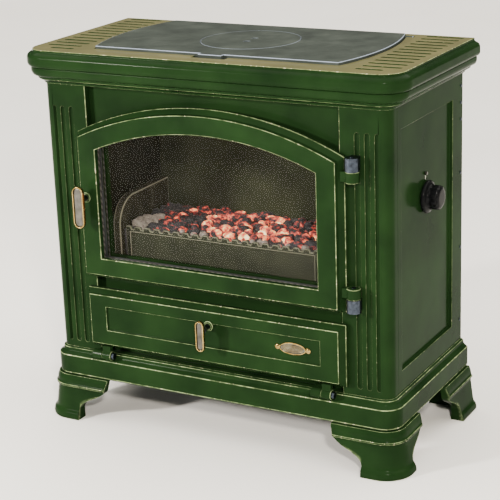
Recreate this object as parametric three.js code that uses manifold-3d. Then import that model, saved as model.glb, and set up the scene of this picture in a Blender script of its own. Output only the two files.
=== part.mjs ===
// An enamelled cast-iron stove: moulded feet, plinth, cornice and top around a front casting with fluted
// pilasters, an arched glazed door, a drop-down ash door, a lift-up hot plate and a thermostat knob.
// Millimetres, +Z up, front towards -Y. Inside the stove group, y = 0 is the face of the pilasters.
import * as THREE from "three";
import { mergeVertices } from "three/addons/utils/BufferGeometryUtils.js";
import Module from "manifold-3d";

const wasm = await Module();
wasm.setup();

// ---- Driving dimensions ----
const joint = 0.3; // gap left between two pieces that meet
const bodyWidth = 674;
const bodyDepth = 322;
const bodyHeight = 500;
const cornerRadius = 20;
const castWall = 8;
const footHeight = 85;
const plinthHeight = 53;
const corniceHeight = 31;
const topThickness = 31;
const topPlateWall = 14;

const pilasterWidth = 90;
const recessDepth = 15; // from the pilaster's face back to the plate between the pilasters
const fluteCount = 3;
const flutePitch = 18;
const fluteWidth = 9;
const fluteDepth = 4.5;
const fluteInset = 32; // pilaster's inner edge to the first flute's centre
const fluteBottomGap = 12;
const fluteTopGap = 40;

const doorOverlap = 14; // how far the door lies over each pilaster
const doorThickness = 20;
const doorGap = 2; // the door's back stands off the pilasters
const doorSill = 150; // body bottom to door bottom
const doorHeadroom = 21; // door's crown to body top
const archRise = 60;
const doorBevel = 10;
const stileWidth = 45;
const railWidth = 41;
const headWidth = 43;
const rimReach = 17; // window's edge to the outside of the rim behind the door
const rimWall = 9;
const lipThickness = 10; // metal in front of the glass
const glassThickness = 4;
const gasketThickness = 1.6;
const retainerThickness = 3;
const sealDepth = 6;

const ashOverlap = 12;
const ashSill = 16;
const ashGapAbove = 22; // ash door's top to the arched door's bottom
const ashThickness = 22;
const ashBevel = 9;

const hingeRadius = 12;
const hingePinRadius = 4;
const hingeAxisX = 16; // outboard of the door's edge
const hingeAxisY = -15;
const lugHeight = 23;
const knuckleHeight = 19;
const ashHingeRadius = 9;
const ashHingeY = -15;
const ashKnuckleWidth = 19;
const ashHingeInset = 35; // end of the ash door to the middle of its knuckle

const spindleRadius = 5;
const spindleClearance = 0.5; // spindle to the rim behind the door
const doorSpindleRise = 154; // door's bottom to its spindle
const ashSpindleDrop = 34; // ash door's top to its spindle
const gripStandoff = 27; // casting's face to the back of the grip
const gripDepth = 8;
const gripWall = 3.2;

const plateFront = 27; // front of the hot plate, from the pilaster's face
const plateBack = 19; // back of the hot plate, from the back of the body
const plateEndInset = 101; // body's side to the hot plate's corner
const plateBulge = 23;
const plateProud = 4.5;
const plateDepth = 10.5;
const ledgeWidth = 10;
const lidRadius = 88.5;
const lidThickness = 5;
const slotCount = 13;
const slotWidth = 8;
const slotLength = 70;
const slotOuterInset = 14; // slot's outer end, inboard of the top surface's edge

const fireDepth = 200; // pilaster's face to the firebox's back plate
const fireHalfWidth = 223;
const fireFloor = 162; // body bottom to the firebox floor's underside
const brickThickness = 15;
const brickHeight = 117;
const fuelPlateHeight = 70;
const flueRadius = 62;
const flueWall = 5;
const flueLength = 60;
const flueDrop = 98; // body top to the flue's axis
const knobRadius = 29;
const knobDrop = 185; // body top to the knob's axis
const panelRail = 38;
const panelStile = 47;
const panelRecess = 6;
const panelThickness = 12;
const panelSkin = 5;

// ---- Derived places ----
const halfWidth = bodyWidth / 2;
const back = bodyDepth;
const bodyBottom = footHeight + plinthHeight;
const bodyTop = bodyBottom + bodyHeight;
const topUnder = bodyTop + corniceHeight;
const topSurface = topUnder + topThickness;
const bayHalf = halfWidth - pilasterWidth;
const plateFace = recessDepth + castWall; // back of the plate between the pilasters

const doorHalf = bayHalf + doorOverlap;
const doorBottom = bodyBottom + doorSill;
const doorCrown = bodyTop - doorHeadroom;
const doorFace = -(doorGap + doorThickness);
const archRadius = (doorHalf ** 2 + archRise ** 2) / (2 * archRise);
const archCentre = doorCrown - archRadius;
const archSpring = doorCrown - archRise;
const windowHalf = doorHalf - stileWidth;
const windowBottom = doorBottom + railWidth;
const rimHalf = windowHalf + rimReach;
const rimRadius = archRadius - headWidth + rimReach;
const rimBottom = windowBottom - rimReach;
const hingeX = doorHalf + hingeAxisX;
const spindleX = -(rimHalf + spindleRadius + spindleClearance);
const spindleZ = doorBottom + doorSpindleRise;

const ashHalf = bayHalf + ashOverlap;
const ashBottom = bodyBottom + ashSill;
const ashTop = doorBottom - ashGapAbove;
const ashFace = -(doorGap + ashThickness);
const ashHingeZ = bodyBottom - 1;
const ashSpindleZ = ashTop - ashSpindleDrop;

const plateHalf = halfWidth - plateEndInset;
const plateEnd = back - plateBack;
const plateTop = topSurface + plateProud;
const lidY = (plateFront + plateEnd) / 2;
const fireFloorZ = bodyBottom + fireFloor;
const flueZ = bodyTop - flueDrop;
const knobY = bodyDepth / 2 + 2;
const knobZ = bodyTop - knobDrop;
const sideInner = halfWidth - panelThickness;
const skinInner = halfWidth - panelRecess - panelSkin;
const topOverhang = 32;

// The origin lies under the middle of everything, from the grips in front to the flue collar behind.
const frontmost = Math.min(doorFace, ashFace) - gripStandoff - gripDepth;
const rearmost = back + flueLength;

// ---- Materials ----
const finish = (color, roughness, metalness) =>
  new THREE.MeshStandardMaterial({ color, roughness, metalness });
const enamel = finish(0x1c3f22, 0.15, 0.0);
const castIron = finish(0x4a4f4b, 0.6, 0.7);
const sootyIron = finish(0x24241f, 0.8, 0.3);
const steel = finish(0x9aa0a6, 0.35, 1.0);
const sheetSteel = finish(0x3a3d3e, 0.5, 0.8);
const brass = finish(0xb8944a, 0.3, 1.0);
const nickel = finish(0xb9b6ae, 0.3, 1.0);
const ceramicGlass = finish(0x30302a, 0.05, 0.0);
const fireclay = finish(0x4d483c, 0.95, 0.0);
const embers = finish(0xb04a35, 0.9, 0.0);
const ropeFibre = finish(0x2c2b28, 0.95, 0.0);
const bakelite = finish(0x101112, 0.2, 0.0);

// ---- Solids ----
function solid(geometry) {
  const bare = geometry.clone();
  bare.deleteAttribute("normal");
  bare.deleteAttribute("uv");
  const merged = mergeVertices(bare, 1e-4);
  return new wasm.Manifold(
    new wasm.Mesh({
      numProp: 3,
      vertProperties: merged.attributes.position.array,
      triVerts: new Uint32Array(merged.index.array),
    }),
  );
}

function geometryOf(made) {
  if (made instanceof THREE.BufferGeometry) return made;
  const mesh = made.getMesh();
  const geometry = new THREE.BufferGeometry();
  geometry.setAttribute("position", new THREE.BufferAttribute(mesh.vertProperties, 3));
  geometry.setIndex(new THREE.BufferAttribute(mesh.triVerts, 1));
  return geometry;
}

const cut = (base, ...tools) => tools.reduce((left, tool) => left.subtract(tool), base);
const join = (...pieces) => pieces.reduce((left, piece) => left.add(piece));

function box(x0, x1, y0, y1, z0, z1) {
  const geometry = new THREE.BoxGeometry(x1 - x0, y1 - y0, z1 - z0);
  geometry.translate((x0 + x1) / 2, (y0 + y1) / 2, (z0 + z1) / 2);
  return solid(geometry);
}

// A cylinder along "x", "y" or "z" from one end to the other, about the point given by its other two
// coordinates.
function rod(axis, radius, from, to, at, sides = 16) {
  const geometry = new THREE.CylinderGeometry(radius, radius, to - from, sides);
  geometry.translate(0, (from + to) / 2, 0);
  if (axis === "x") geometry.rotateZ(-Math.PI / 2).translate(0, at[0], at[1]);
  if (axis === "y") geometry.translate(at[0], 0, at[1]);
  if (axis === "z") geometry.rotateX(Math.PI / 2).translate(at[0], at[1], 0);
  return solid(geometry);
}

// A lathed solid whose profile holds [radius, height] pairs, standing along "x", "y" or "z".
function turned(profile, axis, at, sides = 28) {
  const geometry = new THREE.LatheGeometry(profile.map(([r, h]) => new THREE.Vector2(r, h)), sides);
  if (axis === "x") geometry.rotateZ(-Math.PI / 2);
  if (axis === "z") geometry.rotateX(Math.PI / 2);
  geometry.translate(...at);
  const made = solid(geometry);
  return made.volume() < 0 ? solid(flipped(geometry)) : made;
}

function flipped(geometry) {
  const turnedRound = geometry.clone();
  const index = turnedRound.index.array;
  for (let i = 0; i < index.length; i += 3) [index[i + 1], index[i + 2]] = [index[i + 2], index[i + 1]];
  return turnedRound;
}

// A shape drawn in (x, z), as seen from the front, made solid from y0 back to y1.
function acrossY(shape, y0, y1, curveSegments = 10) {
  const geometry = new THREE.ExtrudeGeometry(shape, { depth: y1 - y0, bevelEnabled: false, curveSegments });
  geometry.rotateX(Math.PI / 2).translate(0, y1, 0);
  return solid(geometry);
}

// A shape drawn in (x, y), as seen from above, made solid from z0 up to z1.
function acrossZ(shape, z0, z1, curveSegments = 6) {
  const geometry = new THREE.ExtrudeGeometry(shape, { depth: z1 - z0, bevelEnabled: false, curveSegments });
  geometry.translate(0, 0, z0);
  return solid(geometry);
}

// A shape drawn in (y, z), as seen from the right, made solid from x0 to x1.
function acrossX(shape, x0, x1, curveSegments = 8) {
  const geometry = new THREE.ExtrudeGeometry(shape, { depth: x1 - x0, bevelEnabled: false, curveSegments });
  geometry.applyMatrix4(new THREE.Matrix4().set(0, 0, 1, x0, 1, 0, 0, 0, 0, 1, 0, 0, 0, 0, 0, 1));
  return solid(geometry);
}

function rectangle(x0, x1, z0, z1) {
  const shape = new THREE.Shape();
  shape.moveTo(x0, z0).lineTo(x1, z0).lineTo(x1, z1).lineTo(x0, z1).closePath();
  return shape;
}

function stadium(x0, x1, z0, z1) {
  const shape = new THREE.Shape();
  const upright = z1 - z0 > x1 - x0;
  const r = Math.min(x1 - x0, z1 - z0) / 2;
  if (upright) {
    shape.absarc(x0 + r, z1 - r, r, 0, Math.PI, false);
    shape.absarc(x0 + r, z0 + r, r, Math.PI, 2 * Math.PI, false);
  } else {
    shape.absarc(x0 + r, z0 + r, r, Math.PI / 2, 1.5 * Math.PI, false);
    shape.absarc(x1 - r, z0 + r, r, -Math.PI / 2, Math.PI / 2, false);
  }
  return shape;
}

// A straight-sided outline with an arched head, concentric with the door's arch.
function arched(half, bottom, radius) {
  const shape = new THREE.Shape();
  const lean = Math.asin(half / radius);
  shape.moveTo(-half, bottom).lineTo(half, bottom);
  shape.absarc(0, archCentre, radius, Math.PI / 2 - lean, Math.PI / 2 + lean, false);
  shape.closePath();
  return shape;
}

function holed(shape, ...holes) {
  shape.holes.push(...holes);
  return shape;
}

// The stove's plan outline, grown outwards by "over" on the front and the sides. The back stays in line,
// and a negative "over" draws all four sides in.
const arcSteps = 7;
function planOutline(over, z, rear = back + Math.min(over, 0)) {
  const half = halfWidth + over;
  const front = -over;
  const r = Math.max(cornerRadius + over, 1.5);
  const points = [[half, rear, z]];
  for (const [side, start] of [[1, 0], [-1, -Math.PI / 2]]) {
    for (let i = 0; i <= arcSteps; i++) {
      const a = start - (i / arcSteps) * (Math.PI / 2);
      points.push([side * (half - r) + r * Math.cos(a), front + r + r * Math.sin(a), z]);
    }
  }
  points.push([-half, rear, z]);
  return points;
}

// Joins outlines of equal length with faces, each to the next: round again for a ring, or capped for a solid.
function lofted(loops, ring) {
  const size = loops[0].length;
  const positions = loops.flat(2);
  const index = [];
  const bands = ring ? loops.length : loops.length - 1;
  for (let k = 0; k < bands; k++) {
    const next = (k + 1) % loops.length;
    for (let i = 0; i < size; i++) {
      const j = (i + 1) % size;
      index.push(k * size + i, next * size + i, next * size + j, k * size + i, next * size + j, k * size + j);
    }
  }
  if (!ring) {
    const last = (loops.length - 1) * size;
    for (let i = 1; i < size - 1; i++) index.push(0, i, i + 1, last, last + i + 1, last + i);
  }
  const geometry = new THREE.BufferGeometry();
  geometry.setAttribute("position", new THREE.Float32BufferAttribute(positions, 3));
  geometry.setIndex(index);
  const made = solid(geometry);
  return made.volume() < 0 ? solid(flipped(geometry)) : made;
}

// A moulding: [overhang, height] pairs from the bottom to the top, run round the plan outline.
const mouldedRing = (profile, wall) =>
  lofted(
    [...profile, [-wall, profile.at(-1)[1]], [-wall, profile[0][1]]].map(([over, z]) => planOutline(over, z)),
    true,
  );
const mouldedSlab = (profile) => lofted(profile.map(([over, z]) => planOutline(over, z)), false);

// ---- The stove and its moving groups ----
const stove = new THREE.Group();
stove.position.y = -(frontmost + rearmost) / 2;
const door = new THREE.Group();
const ashDoor = new THREE.Group();
const hotPlate = new THREE.Group();
stove.add(door, ashDoor, hotPlate);

function place(parent, name, made, material) {
  const mesh = new THREE.Mesh(geometryOf(made), material);
  mesh.name = name;
  parent.add(mesh);
  return mesh;
}

// ---- Feet: hollow bracket feet, an ogee-cut wing to the front and one to the side ----
const footWingReach = 140;
const footToeWidth = 78;
const footSideTop = 118;
const footSideToe = 64;
const footWall = 9;

function wingCut(topReach, toeReach, top) {
  const shape = new THREE.Shape();
  shape.moveTo(toeReach, -1).lineTo(toeReach, 20);
  shape.bezierCurveTo(toeReach + 4, 42, topReach - 12, 46, topReach - 6, 64);
  shape.lineTo(topReach, top + 1).lineTo(topReach + 900, top + 1).lineTo(topReach + 900, -1);
  shape.closePath();
  return shape;
}

function addFeet() {
  const top = footHeight - joint;
  const profile = [[31, 0], [32, 4], [31, 10], [28, 15], [26, 17], [25, 20], [20, 58], [21, 62], [23, 64],
    [23, 66], [21, 69], [20, 74], [19, 80], [15, top]];
  const innerFace = 15 - footWall;
  const hollow = lofted([-1, footHeight + 1].map((z) => planOutline(innerFace, z, back + 1)), false);
  const ring = cut(mouldedSlab(profile), hollow);
  const outerFront = 32;
  const frontWing = acrossY(wingCut(footWingReach, footToeWidth, top), -60, 40);
  const sideWing = acrossX(wingCut(footSideTop, footSideToe, top), -60, 40);
  const corner = halfWidth + outerFront;
  const keepFront = box(0, corner + 1, -40, back / 2, -1, footHeight + 1);
  const keepBack = box(0, corner + 1, back / 2, back + 1, -1, footHeight + 1);
  // Each wing's cut is drawn as the distance from the corner, so it is mirrored to run inwards from there.
  const frontCut = frontWing.mirror([1, 0, 0]).translate([corner, 0, 0]);
  const sideCutFront = sideWing.translate([halfWidth, -outerFront, 0]);
  const sideCutBack = sideWing.mirror([0, 1, 0]).translate([halfWidth, back, 0]);
  const frontRight = cut(ring.intersect(keepFront), frontCut, sideCutFront);
  const backWing = cut(ring.intersect(keepBack), sideCutBack);
  const rearPlate = box(halfWidth - 60, halfWidth + 12, back - footWall, back, 0, top);
  const backRight = join(backWing, rearPlate);
  for (const [end, right] of [["front", frontRight], ["back", backRight]]) {
    place(stove, `foot_${end}_right`, right, enamel);
    place(stove, `foot_${end}_left`, right.mirror([1, 0, 0]), enamel);
  }
}

// ---- Plinth with its moulded ledge, and the sheet steel base inside it ----
const plinthWall = 14;
const baseTop = footHeight + 12;
function addPlinth() {
  const b = bodyBottom;
  const profile = [[11.5, footHeight], [13, footHeight + 2], [13, b - 18], [12, b - 14], [9, b - 13],
    [6.5, b - 10],
    [5, b - 6], [4.6, b - 3], [2, b - 1.6], [1, b - joint]];
  place(stove, "plinth", mouldedRing(profile, plinthWall), enamel);
  const reach = -(plinthWall + joint);
  place(stove, "base_sheet", mouldedSlab([[reach, baseTop - 4], [reach, baseTop]]), sheetSteel);
}

// ---- Front casting: pilasters with rounded corners, and the recessed plate with its two openings ----
const frontReturn = 30;
const fireOpeningInset = rimWall + 4;
const ashPlugInset = 8; // ash door's top and bottom edges to the plug behind it
const ashPlugHalf = bayHalf - 7;
const ashSealWidth = 7;
const ashOpeningHalf = ashPlugHalf - ashSealWidth - 5;
const ashOpening = [ashBottom + ashPlugInset + ashSealWidth + 4, ashTop - ashPlugInset - ashSealWidth - 4];
const tongueReach = 18; // spindle to the tip of the door's latch tongue
const latchNotch = [spindleZ - tongueReach - 4, spindleZ + 9];
function pilaster() {
  const wall = 10;
  const shape = new THREE.Shape();
  shape.moveTo(bayHalf, 0).lineTo(halfWidth - cornerRadius, 0);
  shape.absarc(halfWidth - cornerRadius, cornerRadius, cornerRadius, -Math.PI / 2, 0, false);
  shape.lineTo(halfWidth, frontReturn).lineTo(halfWidth - wall, frontReturn);
  shape.lineTo(halfWidth - wall, cornerRadius);
  shape.absarc(halfWidth - cornerRadius, cornerRadius, cornerRadius - wall, 0, -Math.PI / 2, true);
  shape.lineTo(bayHalf + wall, wall).lineTo(bayHalf + wall, plateFace).lineTo(bayHalf, plateFace).closePath();
  const body = acrossZ(shape, bodyBottom, bodyTop - joint, arcSteps);
  const flutes = Array.from({ length: fluteCount }, (_, i) => {
    const x = bayHalf + fluteInset + i * flutePitch;
    const [low, high] = [bodyBottom + fluteBottomGap, bodyTop - fluteTopGap];
    const outline = stadium(x - fluteWidth / 2, x + fluteWidth / 2, low, high);
    return acrossY(outline, -1, fluteDepth, 4);
  });
  return cut(body, ...flutes);
}

function addFrontFrame() {
  const plate = acrossY(
    holed(
      rectangle(-bayHalf - 1, bayHalf + 1, bodyBottom, bodyTop - joint),
      arched(rimHalf - fireOpeningInset, rimBottom + fireOpeningInset, rimRadius - fireOpeningInset),
      rectangle(-ashOpeningHalf, ashOpeningHalf, ...ashOpening),
    ),
    recessDepth,
    plateFace,
  );
  const right = pilaster();
  const notch = box(spindleX - tongueReach - 2.5, -bayHalf + 1, -1, recessDepth - 2, ...latchNotch);
  place(stove, "front_frame", cut(join(plate, right, right.mirror([1, 0, 0])), notch), enamel);
}

// ---- Side and back panels ----
const panelField = [bodyBottom + panelRail, bodyTop - panelRail - 3];
const shaftHole = 7;
function addPanels() {
  const y0 = frontReturn + joint;
  const field = [panelStile, back - panelStile];
  const outer = box(sideInner, halfWidth, y0, back, bodyBottom, bodyTop - joint);
  const recess = box(halfWidth - panelRecess, halfWidth + 1, ...field, ...panelField);
  const hollow = box(sideInner - 1, skinInner, field[0] - 6, field[1] + 6, ...panelField);
  const panel = cut(outer, recess, hollow);
  const hole = rod("x", shaftHole, sideInner - 2, halfWidth + 2, [knobY, knobZ]);
  place(stove, "side_panel_right", cut(panel, hole), enamel);
  place(stove, "side_panel_left", panel.mirror([1, 0, 0]), enamel);
}

const backThickness = 4;
const backInner = back - backThickness;
const inlet = { x: 150, halfW: 40, bottom: bodyBottom + 60, top: bodyBottom + 110 };
function addBack() {
  const half = sideInner - joint;
  const sheet = box(-half, half, backInner, back, bodyBottom, bodyTop - joint);
  const flueHole = rod("y", flueRadius - flueWall, backInner - 1, back + 1, [0, flueZ], 28);
  const [airLeft, airRight] = [inlet.x - inlet.halfW, inlet.x + inlet.halfW];
  const air = box(airLeft, airRight, backInner - 1, back + 1, inlet.bottom, inlet.top);
  place(stove, "back_panel", cut(sheet, flueHole, air), sheetSteel);
  const flangeRadius = flueRadius + 18;
  const inner = flueRadius - flueWall;
  const profile = [[inner, 0], [flangeRadius, 0], [flangeRadius, 5], [flueRadius + 3, 5], [flueRadius, 8],
    [flueRadius, flueLength - joint], [inner, flueLength - joint], [inner, 0]];
  place(stove, "flue_collar", turned(profile, "y", [0, back + joint, flueZ], 32), castIron);
}

// ---- Cornice and top ----
const topEdge = 20; // overhang of the top's flat surface
function addCornice() {
  const t = topUnder - joint;
  const profile = [[1, bodyTop], [3, bodyTop + 0.6], [4.5, t - 27], [8, t - 24], [13, t - 21.5], [14, t - 21],
    [14.3, t - 18.5], [19, t - 16], [23, t - 13], [25, t - 10], [26, t - 6], [25.2, t - 2], [22.5, t]];
  place(stove, "cornice", mouldedRing(profile, panelThickness), enamel);
}

function plateOutline(grow) {
  const half = plateHalf + grow;
  const front = plateFront - grow;
  const rear = plateEnd + grow;
  const reach = (rear - front) / 2;
  const radius = (reach ** 2 + plateBulge ** 2) / (2 * plateBulge);
  const lean = Math.asin(reach / radius);
  const centre = half + plateBulge - radius;
  const shape = new THREE.Shape();
  shape.moveTo(-half, front).lineTo(half, front);
  shape.absarc(centre, (front + rear) / 2, radius, -lean, lean, false);
  shape.lineTo(-half, rear);
  shape.absarc(-centre, (front + rear) / 2, radius, Math.PI - lean, Math.PI + lean, false);
  return shape;
}

const plateGap = 1.6;
const lugReach = 17;
const lugDepth = 8;
const plateAxisY = plateEnd - lugDepth / 2;
const plateAxisZ = topSurface - 3;
const ledgeTop = plateTop - plateDepth - joint;
const tabHalf = 22.5;
const tabReach = 9;
const slotHalf = slotLength / 2;
const slotX = halfWidth + topEdge - slotOuterInset - slotHalf;
function addTop() {
  const t = topSurface;
  const profile = [[27, topUnder], [31, topUnder + 2.5], [topOverhang, topUnder + 6], [topOverhang, t - 20],
    [31.4, t - 13], [30.4, t - 9.5], [28, t - 6.8], [24.5, t - 5.2], [21.4, t - 4.6], [21, t - 2.6],
    [20.3, t - 0.8], [19, t]];
  const blank = mouldedSlab(profile);
  const skirt = 12;
  const pocketFloor = t - topPlateWall;
  const pocket = box(-halfWidth + skirt, halfWidth - skirt, skirt, back - skirt, topUnder - 1, pocketFloor);
  const seat = acrossZ(plateOutline(plateGap), ledgeTop, t + 1, 12);
  const throat = acrossZ(plateOutline(-ledgeWidth), topUnder - 2, t + 1, 12);
  const fingers = box(-tabHalf - 10, tabHalf + 10, plateFront - tabReach - 6, plateFront + 1, t - 7, t + 1);
  // Behind and under its hinge the plate's edge swings, and the two round lugs turn in cups beside it.
  const lugRadius = lugDepth / 2;
  const behind = Math.hypot(plateEnd - plateAxisY, plateTop - plateAxisZ) + 2;
  const below = Math.hypot(plateEnd - plateAxisY, plateAxisZ - plateTop + plateDepth) + 1;
  const wellHalf = plateHalf + 5;
  const wellFront = plateEnd - ledgeWidth - 1;
  const well = box(-wellHalf, wellHalf, wellFront, plateAxisY + behind, plateAxisZ - below, t + 1);
  const cupHalf = plateHalf + lugReach + 1.5;
  const cups = box(-cupHalf, cupHalf, plateAxisY - lugRadius - joint, plateAxisY + lugRadius + joint,
    plateAxisZ - lugRadius - joint, t + 1);
  const slots = [];
  const slotFront = 14;
  const pitch = (back - 2 * slotFront + 4) / (slotCount - 1);
  for (const side of [-1, 1]) {
    for (let i = 0; i < slotCount; i++) {
      const y = slotFront + i * pitch - 1;
      const short = i === 0 ? 22 : 0; // the first slot stops before the rounded corner
      const inner = side * (slotX - slotHalf);
      const outer = side * (slotX + slotHalf - short);
      const [left, right] = [Math.min(inner, outer), Math.max(inner, outer)];
      const outline = stadium(left, right, y - slotWidth / 2, y + slotWidth / 2);
      slots.push(acrossZ(outline, pocketFloor - 1, t + 1, 3));
    }
  }
  const solidTop = cut(blank, pocket, seat, throat, fingers, well, cups, ...slots);
  place(stove, "top_plate", solidTop, enamel);
}

function addHotPlate() {
  const shape = plateOutline(0);
  const slab = acrossZ(shape, plateTop - plateDepth, plateTop, 12);
  const tab = box(-tabHalf, tabHalf, plateFront - tabReach, plateFront + 2, plateTop - 5.5, plateTop);
  const lugs = [-1, 1].map((side) => {
    const inner = side * (plateHalf - 4);
    const outer = side * (plateHalf + lugReach);
    const span = [Math.min(inner, outer), Math.max(inner, outer)];
    return rod("x", lugDepth / 2, ...span, [plateAxisY, plateAxisZ], 12);
  });
  const well = rod("z", lidRadius + 0.8, plateTop - lidThickness - joint, plateTop + 1, [0, lidY], 48);
  const hole = rod("z", lidRadius - 8, plateTop - plateDepth - 1, plateTop + 1, [0, lidY], 48);
  place(hotPlate, "hot_plate", cut(join(slab, tab, ...lugs), well, hole), castIron);
  const bossRadius = 30;
  const bossDepth = 8;
  const top = plateTop;
  const disc = turned([[0, top - lidThickness - bossDepth], [bossRadius - 3, top - lidThickness - bossDepth],
    [bossRadius, top - lidThickness], [lidRadius, top - lidThickness], [lidRadius, top], [0, top]],
  "z", [0, lidY, 0], 48);
  const holeSpacing = 30;
  const finger = [-1, 1].map((end) =>
    rod("z", 6.5, top - lidThickness - 4, top + 1, [0, lidY + (end * holeSpacing) / 2], 14));
  place(hotPlate, "cooking_lid", cut(disc, ...finger), castIron);
}

// ---- Firebox ----
const liner = 8; // thickness of the firebox plates
function addFirebox() {
  const y0 = plateFace + joint;
  const floorTop = fireFloorZ + liner;
  const fireTop = bodyTop - 38;
  const wideHalf = fireHalfWidth + liner;
  const backPlate = box(-wideHalf, wideHalf, fireDepth, fireDepth + liner, floorTop + joint, fireTop);
  place(stove, "firebox_back", backPlate, sootyIron);
  for (const [name, side] of [["left", -1], ["right", 1]]) {
    const x = [side * fireHalfWidth, side * wideHalf].sort((a, b) => a - b);
    const wall = box(...x, y0, fireDepth - joint, floorTop + joint, topUnder - 10);
    place(stove, `firebox_side_${name}`, wall, sootyIron);
  }
  const grateHalf = 150;
  const grateY = [y0 + 12, fireDepth - 12];
  const floorBlank = box(-wideHalf, wideHalf, y0, fireDepth + liner, fireFloorZ, floorTop);
  const [holeFront, holeBack] = [grateY[0] + 8, grateY[1] - 8];
  const grateHole = box(-grateHalf + 8, grateHalf - 8, holeFront, holeBack, fireFloorZ - 1, floorTop + 1);
  place(stove, "firebox_floor", cut(floorBlank, grateHole), sootyIron);
  const barCount = 10;
  const grateBottom = floorTop + joint;
  const gaps = Array.from({ length: barCount }, (_, i) => {
    const x = -grateHalf + 22 + (i * (2 * grateHalf - 44)) / (barCount - 1);
    return box(x - 7, x + 7, grateY[0] + 10, grateY[1] - 10, floorTop - 1, floorTop + 20);
  });
  const grateBlank = box(-grateHalf, grateHalf, ...grateY, grateBottom, grateBottom + 12);
  place(stove, "grate", cut(grateBlank, ...gaps), sootyIron);

  const brickBottom = floorTop + joint;
  const brick = new THREE.Shape();
  const brickFront = y0 + 4;
  const brickBack = fireDepth - joint;
  const brickTop = brickBottom + brickHeight;
  brick.moveTo(brickFront, brickBottom).lineTo(brickBack, brickBottom).lineTo(brickBack, brickTop);
  brick.lineTo(brickFront + 70, brickTop);
  brick.bezierCurveTo(brickFront + 30, brickTop, brickFront, brickTop - 16, brickFront, brickTop - 46);
  brick.closePath();
  const brickOuter = fireHalfWidth - joint;
  const rightBrick = acrossX(brick, brickOuter - brickThickness, brickOuter);
  place(stove, "side_brick_right", rightBrick, fireclay);
  place(stove, "side_brick_left", rightBrick.mirror([1, 0, 0]), fireclay);

  // The fuel retainer stands across the front of the basket between the bricks and leans back a little.
  const insideHalf = brickOuter - brickThickness - joint;
  const retainerBottom = floorTop + joint;
  const plate = new THREE.Shape();
  plate.moveTo(-insideHalf + 26, retainerBottom).lineTo(insideHalf - 26, retainerBottom);
  plate.lineTo(insideHalf - 14, retainerBottom + fuelPlateHeight);
  plate.lineTo(-insideHalf + 14, retainerBottom + fuelPlateHeight).closePath();
  place(stove, "fuel_retainer", acrossY(plate, y0 + 2, y0 + 8), sootyIron);
  const emberTop = retainerBottom + fuelPlateHeight;
  const emberShape = new THREE.Shape();
  const emberFront = y0 + 8 + joint + 4;
  const emberBack = fireDepth - 1;
  const emberBottom = grateBottom + 12 + joint;
  emberShape.moveTo(emberFront, emberBottom).lineTo(emberBack, emberBottom).lineTo(emberBack, emberTop - 2);
  emberShape.lineTo(emberBack - 40, emberTop + 3).lineTo(emberFront + 20, emberTop + 3);
  emberShape.lineTo(emberFront, emberTop - 3).closePath();
  place(stove, "ember_bed", acrossX(emberShape, -insideHalf + 3, insideHalf - 3), embers);

  // The baffle lies above the back plate, open at its front, so the smoke turns over it to the flue.
  const baffleZ = fireTop + joint;
  const [half, gapHalf, d] = [fireHalfWidth - 1, fireHalfWidth - 60, fireDepth];
  const baffle = box(-half, half, d - 55, d + 60, baffleZ, baffleZ + 6);
  const smokeGap = box(-gapHalf, gapHalf, d + 22, d + 48, baffleZ - 1, baffleZ + 7);
  place(stove, "smoke_baffle", cut(baffle, smokeGap), sootyIron);
}

// ---- Ash pan ----
const panHalf = ashOpeningHalf - 6;
function addAshPan() {
  const wall = 2;
  const bottom = ashOpening[0] + 2;
  const top = ashOpening[1] - 6;
  const front = plateFace + 2;
  const rear = fireDepth + 6;
  const outer = box(-panHalf, panHalf, front, rear, bottom, top);
  const inner = box(-panHalf + wall, panHalf - wall, front + wall, rear - wall, bottom + wall, top + 1);
  const bailHalf = 40;
  const bail = cut(
    box(-bailHalf, bailHalf, front - 9, front + 1, top - 32, top - 27),
    box(-bailHalf + 5, bailHalf - 5, front - 5, front, top - 33, top - 26),
  );
  place(stove, "ash_pan", join(cut(outer, inner), bail), sheetSteel);
  const shelfTop = bottom - joint;
  const shelf = cut(
    box(-fireHalfWidth, fireHalfWidth, plateFace + joint, rear, baseTop + joint, shelfTop),
    box(-fireHalfWidth + 3, fireHalfWidth - 3, plateFace, rear + 1, baseTop, shelfTop - 3),
  );
  place(stove, "ash_shelf", shelf, sheetSteel);
}

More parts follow.
